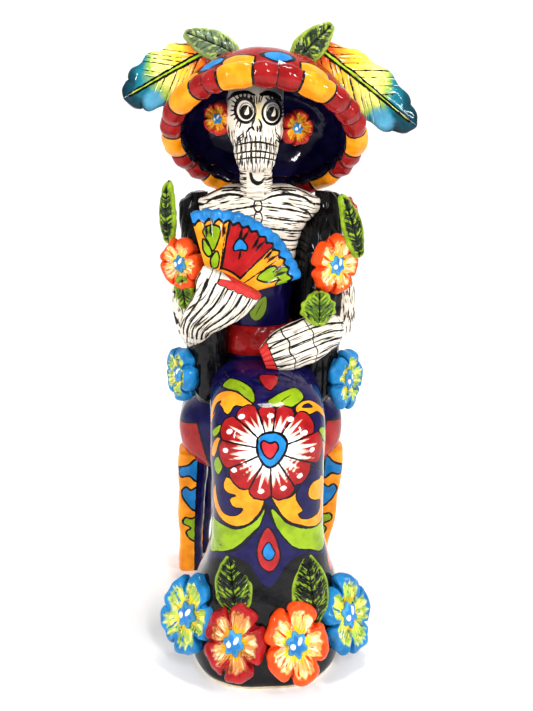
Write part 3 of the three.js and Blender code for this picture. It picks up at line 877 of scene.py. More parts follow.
# ---- skull ----
def skull():
    sections = [
        (394, HEAD_X, -25, 7, 8),
        (398, HEAD_X, -27, 12.5, 13),
        (405, HEAD_X, -27, 15.5, 17),
        (414, HEAD_X, -25, 17.5, 21),
        (424, HEAD_X, -20, 21.5, 26),
        (433, HEAD_X, -16, 22.8, 29),
        (444, HEAD_X, -12, 22.5, 32),
        (455, HEAD_X + 1, -9, 21.5, 30),
        (463, HEAD_X + 1, -7, 17, 24),
        (469, HEAD_X + 1, -5, 8, 13),
    ]
    clay = stack(sections, 2.25, 170, 320)
    x, y, z = (clay.p[..., k] for k in range(3))
    x = x - HEAD_X
    front = smooth(-y, 22, 32)
    eyes = [(-8.4, 441.4), (12.4, 440)]
    relief = np.zeros_like(x)
    for ex, ez in eyes:
        r = np.hypot(x - ex, z - ez)
        relief += -2.2 * bump(r, 0, 9.5) + 2.0 * bump(r, 0, 6.0) + 0.7 * bump(r, 9.3, 1.6)
    relief += 1.3 * bump(z, 452, 3.5) * smooth(np.abs(x), 2, 6)
    relief += 2.2 * bump(x - 1, 0, 4.0) * bump(z, 434, 7) - 1.8 * bump(np.hypot(x - 0.5, z - 428.5), 0, 3.4)
    relief += 1.8 * bump(np.hypot((np.abs(x) - 15) * 0.8, z - 425), 0, 5.5)
    relief += 1.6 * bump(z, 412.5, 7.5) * bump(x, 0, 15) + 0.8 * bump(z, 400, 3)
    clay.push(front * relief)
    teeth = 412.3 - 0.016 * (x + 3) ** 2 + 0.07 * x
    clay.push(
        front * 0.5 * bump(z, teeth, 8) * np.abs(
            np.sin(np.pi * x / 3.7)
        ) - 0.7 * front * bump(z, teeth, 0.8)
    )
    clay.hand_worked(0.3, 14, 8)
    runs = [
        [(-21, 449), (-15, 453.5), (-7, 454.5), (-1, 453)],
        [(3, 453.5), (9, 454.5), (16, 451.5), (20, 447.5)]
    ]
    runs += [[(-18.8, 450.5), (-12, 454), (-5, 454)], [(4, 452.5), (10, 453), (17, 449.5)]]
    ink = [lines(x, z, 1.3, *runs)]
    for (ex, ez), tilt in zip(eyes, (1, -1)):
        r = ellipse(x, z, ex, ez, 7.6, 8.6, 0.1 * tilt)
        ink.append(np.abs(r) - 1.0)
        ink.append(np.abs(ellipse(x, z, ex + 0.6, ez - 0.2, 5.2, 6.0)) - 0.28)
        pupil = ellipse(x, z, ex + 0.5, ez - 0.9, 4.8, 5.3)
        shine = shape(
            x, z, [(ex - 0.6, ez - 2.6), (ex + 2.6, ez - 2.2), (ex + 2.2, ez + 3.5), (ex + 0.6, ez + 0.2)]
        )
        ink.append(np.maximum(pupil, -shine))
        lashes = []
        arc = range(60, 250, 17) if tilt > 0 else range(-25, 125, 15)
        for k, deg in enumerate(arc):
            t = np.radians(deg)
            o = np.array([np.cos(t) * 7.8, np.sin(t) * 8.8])
            bend = np.array([-np.sin(t), np.cos(t)]) * (0.9 if tilt < 0 else 0.3)
            reach = 3.0 + 1.2 * ((k * 7) % 3) / 2
            lashes.append(
                [
                    (ex + o[0], ez + o[1]), tuple((ex, ez) + o * 1.18 + bend),
                    tuple((ex, ez) + o * (1 + reach / 8) + bend * 2)
                ]
            )
        ink.append(lines(x, z, 0.6, *lashes))
    nose = [
        [(-1, 436), (-2.5, 433), (-3.4, 431)], [(1.5, 435.5), (3.5, 432), (4.2, 429)],
        [(-7, 426), (-5.4, 428.5), (-3.4, 429.5)]
    ]
    nose += [
        [(-3.4, 431), (-2.6, 428.5), (-1.6, 427.3)], [(0.4, 430), (0.9, 428), (0.4, 426.6)],
        [(2.4, 430.5), (2.9, 428), (2.6, 426)]
    ]
    ink.append(lines(x, z, 0.8, *nose))
    rows = [
        [
            (t, zt - 0.016 * (t + 3) ** 2 + 0.07 * t) for t in (-16, -11, -5, 0, 5, 11, 15.5)
        ] for zt in (418.8, 412.3, 407.6)
    ]
    ink.append(lines(x, z, 0.8, *rows))
    cuts = []
    for k in range(-4, 5):
        t = 3.6 * k - 0.6
        base = -0.016 * (t + 3) ** 2 + 0.07 * t
        cuts.append([(t, 418.8 + base), (t + 0.3, 415.5 + base), (t, 412.3 + base)])
        cuts.append([(t * 0.93, 412.3 + base), (t * 0.93, 407.6 + base)])
        cuts.append([(t * 0.9, 407 + base), (t * 0.86, 402.8 + base)])
        cuts.append([(t * 1.03, 419.6 + base), (t * 1.05, 423.5 + base + 0.6 * abs(k % 2))])
    ink.append(lines(x, z, 0.55, *cuts))
    cheeks = [
        [
            (s * 12 + 2, 425 - k), (s * (15 + k * 0.4) + 2, 421.5 - k * 1.2), (s * 16 + 2, 419 - k)
        ] for s in (-1, 1) for k in (0, 2.2, 4.4)
    ]
    ink.append(lines(x, z, 0.55, *cheeks))
    frown = [
        [(t, 446 + abs(t) * 0.5), (t * 1.2, 450), (t * 1.5, 452.5)] for t in (-2.6, -1.2, 0.4, 2.0, 3.4)
    ]
    ink.append(lines(x, z, 0.55, *frown))
    facing = only(y < -18, 0.0)
    clay.mark(
        ink=np.minimum.reduce(ink) + facing,
        upright=z,
        sideways=x * 1.6 + 0.05 * z,
        low=np.where((z < 431) & (y < -15), -1.0, 1.0),
        smear=ellipse(x, z, 17, 451, 9, 9) + facing,
        warm=ellipse(x, z, 1.2, 441, 3.2, 9) + facing,
    )
    g = bone_glaze("skull", 0.28)
    g.fill("warm", "#e6cf98", edge=0, soft=1.6)
    g.fill("smear", "#8d8a8b", edge=0, soft=4.0, wobble=4.0)
    g.brushed("upright", "sideways", length=0.10, width=0.55, amount=0.55, within="low")
    g.ink("ink", wobble=0.35)
    clay.piece("skull", "bone_glaze", g.done(relief=0.25))


# ---- limbs and hands ----
def arm(name, path, sizes):
    clay = limb(path, sizes, 90, 120)
    clay.push(0.3 * np.cos(clay.side * 1.4) * smooth(clay.front, 0, 4)).hand_worked(0.4, 14, 11)
    clay.mark(along=clay.run, across=clay.side + 0.4 * clay.front)
    g = bone_glaze(name)
    g.brushed("along", "across", length=0.10, width=0.5, amount=0.62)
    clay.piece(name, "bone_glaze", g.done(relief=0.2))


def hand(name, path, sizes, fingers, bands, nail_from, nail_to, nail_side, seed):
    """A mitten of clay with the gaps between the fingers pressed in and painted."""
    clay = limb(path, sizes, 170, 200)
    run, side, front = clay.run, clay.side, clay.front
    half = np.abs(side).max(1, keepdims=True)
    across = side / half * fingers / 2
    length = run[-1, 0]
    share = run / length
    seen = smooth(front, 0, 2.5)
    grooves = np.abs(np.sin(np.pi * (across + fingers / 2)))
    clay.push(seen * smooth(share, 0.22, 0.45) * 1.5 * (grooves**0.55 - 0.8))
    for at in bands:
        clay.push(seen * (0.8 * bump(share, at, 0.045) - 0.4 * bump(share, at, 0.012)))
    clay.hand_worked(0.35, 13, seed)
    gap_lines = np.abs(np.sin(np.pi * (across + fingers / 2))) * (2 * half / fingers) / np.pi - 0.75
    gap_lines = np.maximum(gap_lines, (0.2 - share) * length)
    gap_lines = np.maximum(gap_lines, (0.05 - (1 - share)) * length)
    cross = np.min([np.abs(share - at - 0.01 * np.cos(across * 3)) * length - 0.45 for at in bands], 0)
    nails = np.abs(share - (nail_from + nail_to) / 2) * length - (nail_to - nail_from) * length / 2
    nails = np.where(share > 0.985, nails, np.maximum(nails, 0.6 - front))
    cut = 0.8 * np.abs(np.sin(np.pi * (across + fingers / 2))) - 0.4
    nails = np.maximum(nails, (nail_side - side / half) * half)
    clay.mark(
        gaps=only(front > 0, gap_lines),
        bands=only(front > -1, cross),
        nails=nails - cut,
        along=run,
        across=side,
    )
    g = bone_glaze(name, 0.28)
    g.brushed("along", "across", length=0.035, width=0.62, amount=0.5)
    g.ink("gaps", wobble=0.9)
    g.ink("bands", wobble=0.6)
    g.fill("nails", "#c9302c", edge=0.35)
    clay.piece(name, "bone_glaze", g.done(relief=0.2))


# ---- fan ----
FAN_PIVOT = (-40, -57, 297)
FAN_RADIUS = 71.5
FAN_FROM, FAN_TO = 13, 104


def fan():
    count = 330
    angles = np.radians(np.linspace(FAN_FROM, FAN_TO, count))
    inner, thick = 14, 5.0
    top = np.linspace(inner, FAN_RADIUS - 3.2, 84)
    roll = np.linspace(np.pi / 2, -np.pi / 2, 16)
    loop_r = np.concatenate([top, FAN_RADIUS - 3.2 + 3.2 * np.cos(roll)[1:], top[::-1][::3], [inner]])
    loop_z = np.concatenate(
        [np.full(84, thick), thick / 2 + 2.9 * np.sin(roll)[1:], np.zeros(28), [thick / 2]]
    )
    pleats = 13
    rings = []
    for k, t in enumerate(angles):
        part = k / (count - 1)
        fold = 1.0 * np.abs(np.sin(np.pi * pleats * part))
        lobe = np.abs(np.sin(np.pi * pleats * part)) ** 0.7
        r = loop_r + smooth(loop_r, 50, 71) * (1.3 * lobe - 0.8 + 0.5 * np.sin(part * 23))
        ends = 1 - 0.55 * bump(part, 0, 0.012) - 0.55 * bump(part, 1, 0.012)
        z = thick / 2 + (loop_z - thick / 2) * ends + fold * smooth(loop_r, 20, 60) - 0.0016 * r**2
        z = z + 1.3 * bump(loop_r, 67, 3.2) * (loop_z > thick / 2) * (lobe - 0.35) * ends
        rings.append(np.column_stack([r * np.cos(t), r * np.sin(t), z]))
    clay = Clay(rings)
    r = np.hypot(clay.p[..., 0], clay.p[..., 1])
    deg = np.degrees(np.arctan2(clay.p[..., 1], clay.p[..., 0]))
    x, y = clay.p[..., 0], clay.p[..., 1]
    wedge = lambda low, high: (np.abs(deg - (low + high) / 2) - (high - low) / 2) * r / RADIAN
    polar = lambda pairs: [(d * np.cos(np.radians(t)), d * np.sin(np.radians(t))) for t, d in pairs]
    leaves = [
        polar([(98, 56), (91, 60), (84, 57), (86, 46), (91, 40), (95, 47)]),
        polar([(99, 50), (94, 44), (92, 38), (97, 36), (101, 42)]),
        polar([(94, 34), (87, 40), (83, 36), (84, 28), (93, 27)]),
        polar([(26, 60), (21, 66), (15, 64), (14, 57), (20, 53), (26, 55)]),
        polar([(30, 54), (24, 56), (18, 52), (19, 44), (27, 38), (31, 44)]),
        polar([(14, 60), (9.5, 62), (9.5, 53), (14, 50), (17, 54)]),
    ]
    cx, cy = 48 * np.cos(np.radians(64)), 48 * np.sin(np.radians(64))
    spade = [
        (cx, cy + 6), (cx + 5, cy + 1), (cx + 5, cy - 3.4), (cx + 1.4, cy - 3), (cx - 1.4, cy - 3),
        (cx - 5, cy - 3.4), (cx - 5, cy + 1)
    ]
    stem = line(x, y, [(cx, cy - 3), (cx - 0.6, cy - 7), (cx - 1.6, cy - 10)], 0.9)
    folds = np.sin(
        np.pi * pleats * (deg - FAN_FROM) / (FAN_TO - FAN_FROM)
    ) * (FAN_TO - FAN_FROM) / pleats * r / RADIAN / np.pi
    clay.mark(
        ruffle=63.0 + 1.2 * np.sin(deg * 0.9) - r,
        along=r,
        shade=np.maximum(r - 64, 51 - r),
        red=np.maximum(np.maximum(wedge(42, 78), 27 - r), r - 64.5),
        leaves=shapes(x, y, *leaves),
        spade=shape(x, y, spade),
        stem=stem,
        across=folds,
        wedges=np.minimum.reduce([np.abs(wedge(0, 80)) - 0.3, np.abs(wedge(0, 32)) - 0.5]),
    )
    g = Glaze("fan_glaze", ORANGE, rough=0.13)
    g.fill("leaves", LIME, edge=0.6, gap=0.25)
    g.ink("wedges", wobble=1.6)
    g.fill("red", "#a31316", edge=0.75, gap=0.2)
    g.brushed("along", "across", length=0.05, width=0.5, amount=0.55, within="shade")
    g.ink("stem")
    g.fill("spade", SKY, edge=0.65)
    g.fill("ruffle", SKY, edge=1.0, gap=0.8)
    clay.stand(FAN_PIVOT, (0.06, -1, 0.1)).piece("fan", "orange_glaze", g.done(relief=0.3))


# ---- shawl ----
def shawl_side(side, name, seed):
    sections = [
        (202, 45, -2, 15, 34),
        (212, 46, -2, 18, 38),
        (240, 46, -2, 19, 38),
        (280, 47, -2, 19, 36),
        (318, 48, -1, 20, 31),
        (340, 50, 1, 18, 25),
        (355, 54, 4, 15, 17),
        (367, 56, 7, 12, 11),
        (374, 52, 8, 7, 7),
    ]
    sections = [(z, side * x, y, a, b) for z, x, y, a, b in sections]
    clay = stack(sections, 2.6, 220, 240)
    folds = lumps(clay.p * [1, 1, 0.12], 15, seed)
    clay.push(2.4 * np.abs(folds) ** 0.7 - 1.4 + 0.8 * lumps(clay.p * [1, 1, 0.2], 24, seed + 1))
    clay.hand_worked(0.5, 16, seed + 2)
    clay.piece(name, "black_glaze", BLACK_GLAZE)


def shawl_back():
    sections = [
        (204, 0, 30, 44, 11), (240, 0, 30, 46, 11), (300, 0, 27, 48, 11), (345, 0, 22, 48, 11),
        (366, 0, 17, 40, 9), (376, 0, 14, 26, 6)
    ]
    clay = stack(sections, 3, 180, 260)
    clay.push(1.8 * lumps(clay.p * [1, 1, 0.12], 20, 31)).hand_worked(0.5, 16, 33)
    clay.piece("shawl_back", "black_glaze", BLACK_GLAZE)


# ---- hat ----
HAT_CENTRE = (1.5, -8, 423)
# The crown's axis leans back by 41 degrees, and by 5 degrees towards her left.
HAT_FACING, HAT_UP = (0.0872, 0.6536, 0.7518), (0, 0.7547, -0.6561)
RIM_RING, RIM_ROLL = 73, 9.2
DOME_HEIGHT, HAT_WALL = 56, 7
BLOCKS = (-61, -107.6, -145.5, -191, -239, -280, -318, -3)
BLOCK_HALF = 10.0
DOME_RINGS = 120
HAT_RED = "#8e1111"


def turned(angle, to):
    """Degrees from one angle to another, between -180 and 180."""
    return (angle - to + 180) % 360 - 180


def block_marks(deg):
    """Degrees to the middle of the nearest orange block, and to the nearest groove between gadroons."""
    blocks = np.sort(np.array(BLOCKS) % 360)
    following = np.roll(blocks, -1) + np.array([0] * 7 + [360])
    grooves = [*(blocks - BLOCK_HALF), *(blocks + BLOCK_HALF)]
    for a, b in zip(blocks + BLOCK_HALF, following - BLOCK_HALF):
        grooves += list(np.linspace(a, b, 4 if b - a > 32 else 3)[1:-1])
    middle = np.min([np.abs(turned(deg, b)) for b in blocks], 0)
    groove = np.min([np.abs(turned(deg, g)) for g in grooves], 0)
    ovals = [turned((a + b) / 2, 0) for a, b in zip(blocks, following)]
    return middle, groove, ovals


def hat_rim():
    turns = around(900)
    rings = []
    for a in turns:
        roll = superellipse(RIM_ROLL, RIM_ROLL * 0.95, 2.15, 84)
        r = RIM_RING + roll[:, 0]
        rings.append(np.column_stack([r * np.cos(a), r * np.sin(a), roll[:, 1] - 4]))
    clay = Clay(rings, wrap=True)
    deg = np.degrees(np.broadcast_to(turns[:, None], clay.p.shape[:2]))
    middle, groove, _ = block_marks(deg)
    reach = groove * RIM_RING / RADIAN
    clay.push(2.3 * np.clip(reach / 8.5, 0, 1) ** 0.55 - 1.7)
    clay.hand_worked(0.6, 18, 41)
    r = np.hypot(clay.p[..., 0], clay.p[..., 1])
    clay.mark(
        orange=(middle - BLOCK_HALF) * r / RADIAN,
        joints=groove * r / RADIAN - 0.4 - 0.6 * (np.abs(middle - BLOCK_HALF) < 1.5),
        inner=r - (RIM_RING - RIM_ROLL + 1.6),
        outer=np.maximum(np.abs(clay.p[..., 2] - 4.2) - 0.5, RIM_RING - r),
    )
    g = Glaze("hat_rim_glaze", HAT_RED, rough=0.1)
    g.fill("orange", ORANGE, edge=0.75, gap=0.15, wobble=1.2)
    g.ink("joints", wobble=1.1)
    g.ink("outer", wobble=0.8)
    g.fill("inner", "#0a0620", edge=0.4, wobble=0.8)
    clay.stand(HAT_CENTRE, HAT_FACING, HAT_UP).piece("hat_rim", "red_glaze", g.done(relief=0.3))


def hat_shell():
    t = np.linspace(0.02, np.pi / 2, DOME_RINGS)[::-1]
    outer = np.column_stack([(RIM_RING + 1) * np.cos(t), DOME_HEIGHT * np.sin(t)])
    inner = np.column_stack([(RIM_RING + 1 - HAT_WALL) * np.cos(t), (DOME_HEIGHT - HAT_WALL) * np.sin(t)])
    profile = np.vstack([outer, inner[::-1][::2]])
    profile[:, 0] = np.maximum(profile[:, 0], 0.5)
    turns = around(540)
    clay = Clay([round_ring(turns, r, z) for r, z in profile])
    deg = np.degrees(np.broadcast_to(turns, clay.p.shape[:2]))
    middle, groove, ovals = block_marks(deg)
    side = np.ones(clay.p.shape[:2])
    side[DOME_RINGS:] = 0
    height = clay.p[..., 2]
    clay.push(side * smooth(-height, -22, -6) * 1.2 * np.clip(groove * 1.27 / 8, 0, 1) ** 0.6)
    clay.hand_worked(0.5, 26, 44)
    r = np.hypot(clay.p[..., 0], clay.p[..., 1])
    oval = np.min([ellipse(turned(deg, o) * r / RADIAN, height, 0, 15, 12, 6.8) for o in ovals], 0)
    tab = np.maximum((middle - BLOCK_HALF) * r / RADIAN, height - 17 + 0.02 * (middle * 1.3) ** 2)
    clay.mark(
        outside=np.where(side > 0, -1.0, 1.0) * np.ones_like(r),
        ovals=only(side > 0, oval),
        tabs=only(side > 0, tab),
        crown=only(side > 0, 40 - height),
    )
    g = Glaze("hat_shell_glaze", "#0d0736", rough=0.1)
    g.fill("outside", HAT_RED, edge=0, wobble=0)
    g.fill("tabs", ORANGE, edge=0.75, gap=0.15)
    g.fill("ovals", SKY, edge=0.75, gap=0.15)
    g.fill("crown", COBALT, edge=0.8)
    clay.stand(HAT_CENTRE, HAT_FACING, HAT_UP).piece("hat_shell", "cobalt_glaze", g.done(relief=0.3))


# ---- leaves and plumes: blades along the local +Y, with their backs near the local z = 0 ----
def blade(length, half_width, thickness, rings, sides, curl):
    """half_width gives the half-width at each share of the length."""
    share = (1 - np.cos(np.linspace(0, np.pi, rings))) / 2
    out = []
    for t in share:
        half = max(half_width(t), 0.5)
        ring = superellipse(half, thickness / 2 * min(1, 0.35 + half / 6), 2.7, sides)
        y = np.full(sides, t * length)
        out.append(np.column_stack([ring[:, 0], y, thickness / 2 + ring[:, 1] + curl(ring[:, 0], y)]))
    return Clay(out)


def leaf(
    name, length, width, at, facing, up, thickness=5, seed=1, inside="#16260b", edge="#8aa81d", ruffle=0.0
):
    half = lambda t: width / 2 * np.sin(np.pi * t**0.85) ** 0.7 + 0.4
    curl = lambda x, y: -0.008 * x**2 - 0.004 * (y - length / 2) ** 2
    clay = blade(length, half, thickness, 150, 150, curl)
    x, y = clay.p[..., 0], clay.p[..., 1]
    front = clay.p[..., 2] - curl(x, y) > thickness / 2
    run = y / length
    halves = np.array([[half(t)] for t in run[:, 0]])
    veins = np.sin(np.pi * (y - 0.9 * np.abs(x)) / (length / 6.5)) * (length / 6.5) / np.pi
    inward = smooth(halves - np.abs(x), 0.5, 3.5)
    clay.push(
        front * (
            -1.1 * bump(x, 0, 0.9) - 0.6 * np.exp(
                -((veins / 0.7) ** 2)
            ) * inward + 0.7 * bump(np.abs(x), 2.6, 1.6)
        )
    )
    clay.push(front * 0.9 * (1 - inward) * (1 + ruffle * np.sin(y * 0.9)))
    clay.hand_worked(0.5, 9, seed)
    clay.mark(
        rib=only(front, np.abs(x) - 0.55),
        veins=only(front, np.maximum(np.abs(veins) - 0.22, 1.5 + 0.12 * np.abs(x) - (halves - np.abs(x)))),
        middle=only(front, np.maximum(np.abs(x) - halves + 1.7, 2 - y)),
        along=y - 0.9 * np.abs(x),
        across=np.abs(x) + y * 0.3,
    )
    g = Glaze(name + "_glaze", edge, rough=0.12, mottle=0.3)
    g.fill("middle", inside, edge=0, soft=1.2, wobble=3.5)
    g.brushed("across", "along", colour=edge, length=0.10, width=0.30, amount=0.6, within="middle")
    g.brushed("across", "along", colour=LINE, length=0.12, width=0.42, amount=0.5, within="middle")
    g.ink("veins", wobble=0.8)
    g.ink("rib", wobble=1.0)
    clay.stand(at, facing, up).piece(name, "leaf_glaze", g.done(relief=0.35, size=0.3))


def plume(name, length, width, at, facing, up, seed, mirror=1):
    def half(t):
        broad = np.sin(np.pi * t**0.75) ** 0.55 * (0.55 + 0.45 * t)
        return width / 2 * broad * (1 + 0.07 * np.cos(t * 7 * np.pi)) + 2

    curl = lambda x, y: -0.0012 * y**2 - 0.006 * x**2
    clay = blade(length, half, 9, 260, 220, curl)
    x, y = clay.p[..., 0], clay.p[..., 1]
    front = smooth(clay.p[..., 2] - curl(x, y), 4.5, 6)
    run = y / length
    end = smooth(run, 0.6, 0.8)
    halves = np.array([[half(t)] for t in run[:, 0]])
    barb = y - 1.25 * np.abs(x)
    fine = np.sin(np.pi * barb / 7.2 + 0.9 * np.sin(barb * 0.23 + seed)) * 7.2 / np.pi
    big = np.abs(np.sin(np.pi * (y + 3 - 0.4 * np.abs(x)) / (length * 2 / 7)))
    clay.push(
        front * (
            0.9 * bump(x, 0, 2.6) - 0.5 * np.exp(
                -((fine / 0.8) ** 2)
            ) * (1 - end) * smooth(np.abs(x), 1.5, 4)
        )
    )
    clay.push(end * 3.0 * (big**0.6 - 0.75) * smooth(np.abs(x), 4, 10))
    clay.hand_worked(0.7, 15, seed)
    clay.mark(
        run=run + 0.05 * lumps(clay.p, 14, seed + 5) + 0.10 * (np.abs(x) / halves) ** 2,
        rib=only(front > 0.3, np.maximum(np.abs(x) - 1.9 * (1 - 0.5 * run), (run - 0.93) * length)),
        barbs=only(front > 0.3, np.maximum(np.abs(fine) - 0.45, (run - 0.7) * length)),
        along=np.abs(x) + 0.3 * y,
        across=barb,
        patch=ellipse(
            mirror * x, y, -width * 0.24, length * 0.74, width * 0.13, length * 0.1
        ) + only(front > 0.3, 0),
        root=(run - 0.7) * length,
    )
    g = Glaze(name + "_glaze", YELLOW, rough=0.1, mottle=0.1)
    stops = [(0.0, "#b3261c"), (0.12, "#d94a1a"), (0.22, "#f59a24"), (0.35, "#f6cd3a"), (0.55, "#f1e27c")]
    g.graded("run", stops + [(0.67, "#86ad3c"), (0.75, "#187487"), (0.84, "#0a4352"), (1.0, "#052833")])
    g.brushed("along", "across", colour="#fbf3cf", length=0.05, width=0.5, amount=0.35, within="root")
    g.brushed("along", "across", colour="#1d2a1a", length=0.06, width=0.7, amount=0.2, within="root")
    g.ink("barbs", wobble=1.6)
    g.fill("patch", "#4f9abb", edge=0, soft=2.6, wobble=2.4)
    g.fill("rib", "#9dbb1e", edge=0.75, wobble=1.0)
    clay.stand(at, facing, up).piece(name, "teal_glaze", g.done(relief=0.3))


# ---- flowers ----
PETALS = 5
FACE_RINGS = 106


def flower(
    name, at, facing, radius, tall, slot, petal, zone, streak, ring, spread=0.0, seed=1, up=(0, 0, 1)
):
    """A thick rosette: a puffy roll pinched into five petals round a creased hollow."""
    count = 320
    turns = around(count)
    height = radius * 0.45
    rng = np.random.default_rng(seed)
    own = np.interp(
        turns, np.linspace(0, 2 * np.pi, PETALS + 1),
        np.append(*[rng.uniform(-1, 1, PETALS)] * 2)[: PETALS + 1]
    )
    wave = np.abs(np.cos(PETALS * turns / 2))
    pinch = np.exp(-((wave / 0.28) ** 2))
    reach = radius * (0.95 + 0.04 * own - 0.17 * pinch + 0.012 * np.sin(turns * 13 + seed))
    hollow = 0.70 + 0.03 * own - 0.22 * np.exp(-((wave / 0.35) ** 2)) + 0.02 * np.sin(turns * 19 + seed)
    rings, shares = [], []
    for t in np.linspace(0.03, 1, 58):
        rings.append((t * hollow * reach, height * (0.74 + 0.06 * t**3)))
        shares.append(t * hollow)
    middle, half = (1 + hollow) / 2, (1 - hollow) / 2
    for a in np.linspace(np.pi, -0.35 * np.pi, 56)[1:]:
        rings.append(((middle + half * np.cos(a)) * reach, height * (0.72 + 0.46 * np.sin(a))))
        shares.append(middle + half * np.cos(a))
    for t in np.linspace(0.86, 0.05, 14):
        rings.append((t * reach, 0.0 * turns))
        shares.append(t + 0 * turns)
    points = []
    for r, z in rings:
        points.append(round_ring(turns, r, z - 0.3 * height * (r / radius) ** 2, tall))
    clay = Clay(points)
    share = np.array(shares)
    face = np.zeros(clay.p.shape[:2])
    face[:FACE_RINGS] = 1
    inside = face * smooth(hollow - share, -0.05, 0.03)
    creases = np.abs(np.sin(turns * 14.5 + 1.2 * np.sin(turns * 3 + seed) + 2 * share))
    clay.push(inside * radius * 0.055 * (creases - 0.6) * smooth(share, 0.2, 0.4))
    clay.push(-face * radius * 0.13 * np.exp(-((wave / 0.10) ** 2)) * smooth(share, 0.3, 0.6))
    clay.push(face * (1 - inside) * radius * 0.05 * lumps(clay.p, radius * 0.55, seed + 3))
    clay.hand_worked(radius * 0.04, radius * 0.8, seed)
    mm = share * radius
    clay.mark(
        zone=only(face > 0, (share - hollow - 0.02 - spread + 0.06 * (creases - 0.5)) * radius),
        ring=only(face > 0, mm - radius * (0.42 + 0.05 * np.sin(turns * 9))),
        rays=mm,
        ux=np.cos(turns),
        uy=np.sin(turns),
    )
    g = Glaze(name + "_glaze", petal, rough=0.1, mottle=0.22)
    g.fill("zone", zone, edge=0, soft=1.2, wobble=2.0)
    g.streaked("rays", "ux", "uy", streak, "zone", 0.62, 5.0)
    g.streaked("rays", "ux", "uy", petal, "zone", 0.42, 6.2)
    g.fill("ring", ring, edge=0, soft=1.3, wobble=2.0)
    clay.stand(flower_back(at, facing, radius), facing, up).piece(name, slot, g.done(relief=0.3, size=0.25))
    eye(name, at, facing, radius, tall, seed, up)


def flower_back(at, facing, radius):
    return np.array(at) - 0.12 * radius * unit(facing)


def eye(name, at, facing, radius, tall, seed, up):
    count = 120
    turns = around(count)
    size = radius * 0.29
    lobes = 1 + 0.16 * np.cos(6 * turns + seed)
    points = []
    for a in np.linspace(np.pi / 2 - 0.04, -np.pi / 2 + 0.04, 40):
        r = size * np.cos(a) ** 0.8 * (lobes if a > -0.6 else 1)
        points.append(round_ring(turns, r, size * 0.4 * np.sin(a), tall))
    clay = Clay(points)
    clay.hand_worked(0.12, 4, seed)
    x, y, z = (clay.p[..., k] for k in range(3))
    r = np.hypot(x, y / tall)
    front = only(z > 0, 0.0)
    dots = [ellipse(x, y, 0.3 * size, 0.4 * size, 0.2 * size, 0.42 * size, -0.4)]
    dots.append(ellipse(x, y, -0.45 * size, -0.1 * size, 0.26 * size, 0.3 * size))
    clay.mark(dot=np.minimum(*dots) + front, rim=size * (0.70 + 0.14 * np.cos(6 * turns + seed)) - r)
    g = Glaze(name + "_eye_glaze", "#2673b4", rough=0.1)
    g.fill("rim", "#3f8fbf", edge=0, soft=0.6)
    g.ink("dot", WHITE, wobble=0.4, soft=0.3)
    front_at = flower_back(at, facing, radius) + unit(facing) * (radius * 0.33 + 0.3)
    clay.stand(front_at, facing, up).piece(name + "_eye", "sky_glaze", g.done(relief=0.1))


# ---- the stool ----
def seat():
    outer = [(130, 65, 46), (142, 72, 50), (160, 74, 51), (178, 70, 50), (192, 58, 45)]
    inner = [(130, 53, 35), (142, 60, 39), (160, 62, 40)]
    up = spline([(z, 0, 34, a, b) for z, a, b in outer], 150)
    down = spline([(z, 0, 34, a, b) for z, a, b in inner], SEAT_INNER_RINGS)[::-1]
    rings = []
    for z, x, y, a, b in np.vstack([down, up]):
        rings.append(level_ring(superellipse(a, b, 3, 320), x, y, z))
    clay = Clay(rings)
    outside = np.zeros(clay.p.shape[:2])
    outside[SEAT_INNER_RINGS:] = 1
    clay.push(outside * 1.2 * np.cos(clay.p[..., 0] * 0.16)).hand_worked(0.6, 22, 51)
    x, z = np.abs(clay.p[..., 0]), clay.p[..., 2]
    out = only(outside > 0, 0.0)
    clay.mark(ends=np.maximum(52 + 0.25 * (z - 150) - x, z - 172 + 0.35 * (x - 60)) + out)
    g = Glaze("seat_glaze", COBALT, rough=0.12)
    g.fill("ends", "#9c191b", edge=0.8)
    clay.piece("seat", "cobalt_glaze", g.done())


SEAT_INNER_RINGS = 50
LEG_SIZES = ((13.5, 12), (13.5, 12), (12, 11), (11.5, 10.5), (11, 10), (11, 10))
LEGS = {
    "leg_front_right": ((-62, 21, 136), (-67, 30, 60), (-69, 43, 0)),
    "leg_front_left": ((63, 22, 136), (60, 32, 60), (52, 44, 0)),
    "leg_rear_right": ((-56, 66, 136), (-59, 70, 60), (-62, 76, 0)),
    "leg_rear_left": ((56, 66, 136), (57, 70, 60), (58, 76, 0)),
}


def leg(name, path, seed):
    clay = limb(path, LEG_SIZES, 180, 130, 3.4)
    inward = -1 if path[0][0] > 0 else 1
    clay.push(0.7 * np.sin(clay.p[..., 2] * 0.11 + seed)).hand_worked(0.5, 18, seed)
    clay.p[..., 2] = np.maximum(clay.p[..., 2], 0)
    run, side = clay.run, clay.side * (1 if path[0][0] < 0 else -1)
    front = only(clay.front > -2, 0.0)
    sky = [(-16, 12), (-16, 26), (-4, 28), (3, 22), (11, 24), (12, 15), (4, 10), (-2, 4), (-10, 6)]
    heart = [(-16, 44), (-12, 36), (-5, 34), (1, 38), (6, 35), (10, 42), (5, 52), (-3, 60), (-12, 58)]
    lime = [
        (-16, 82), (-14, 70), (-7, 66), (-1, 69), (5, 68), (7, 75), (0, 80), (4, 86), (1, 94), (-6, 98),
        (-13, 93)
    ]
    clay.mark(
        inner=inward * (clay.p[..., 0] - clay.p[..., 0].mean(1, keepdims=True)) * -1 + 4.5,
        sky=shapes(side, run, sky, heart) + front,
        lime=shape(side, run, lime) + front,
    )
    g = Glaze(name + "_glaze", ORANGE, rough=0.13)
    g.fill("sky", SKY, edge=0.8)
    g.fill("lime", LIME, edge=0.8)
    g.fill("inner", COBALT, edge=0.8)
    clay.piece(name, "orange_glaze", g.done(relief=0.2))


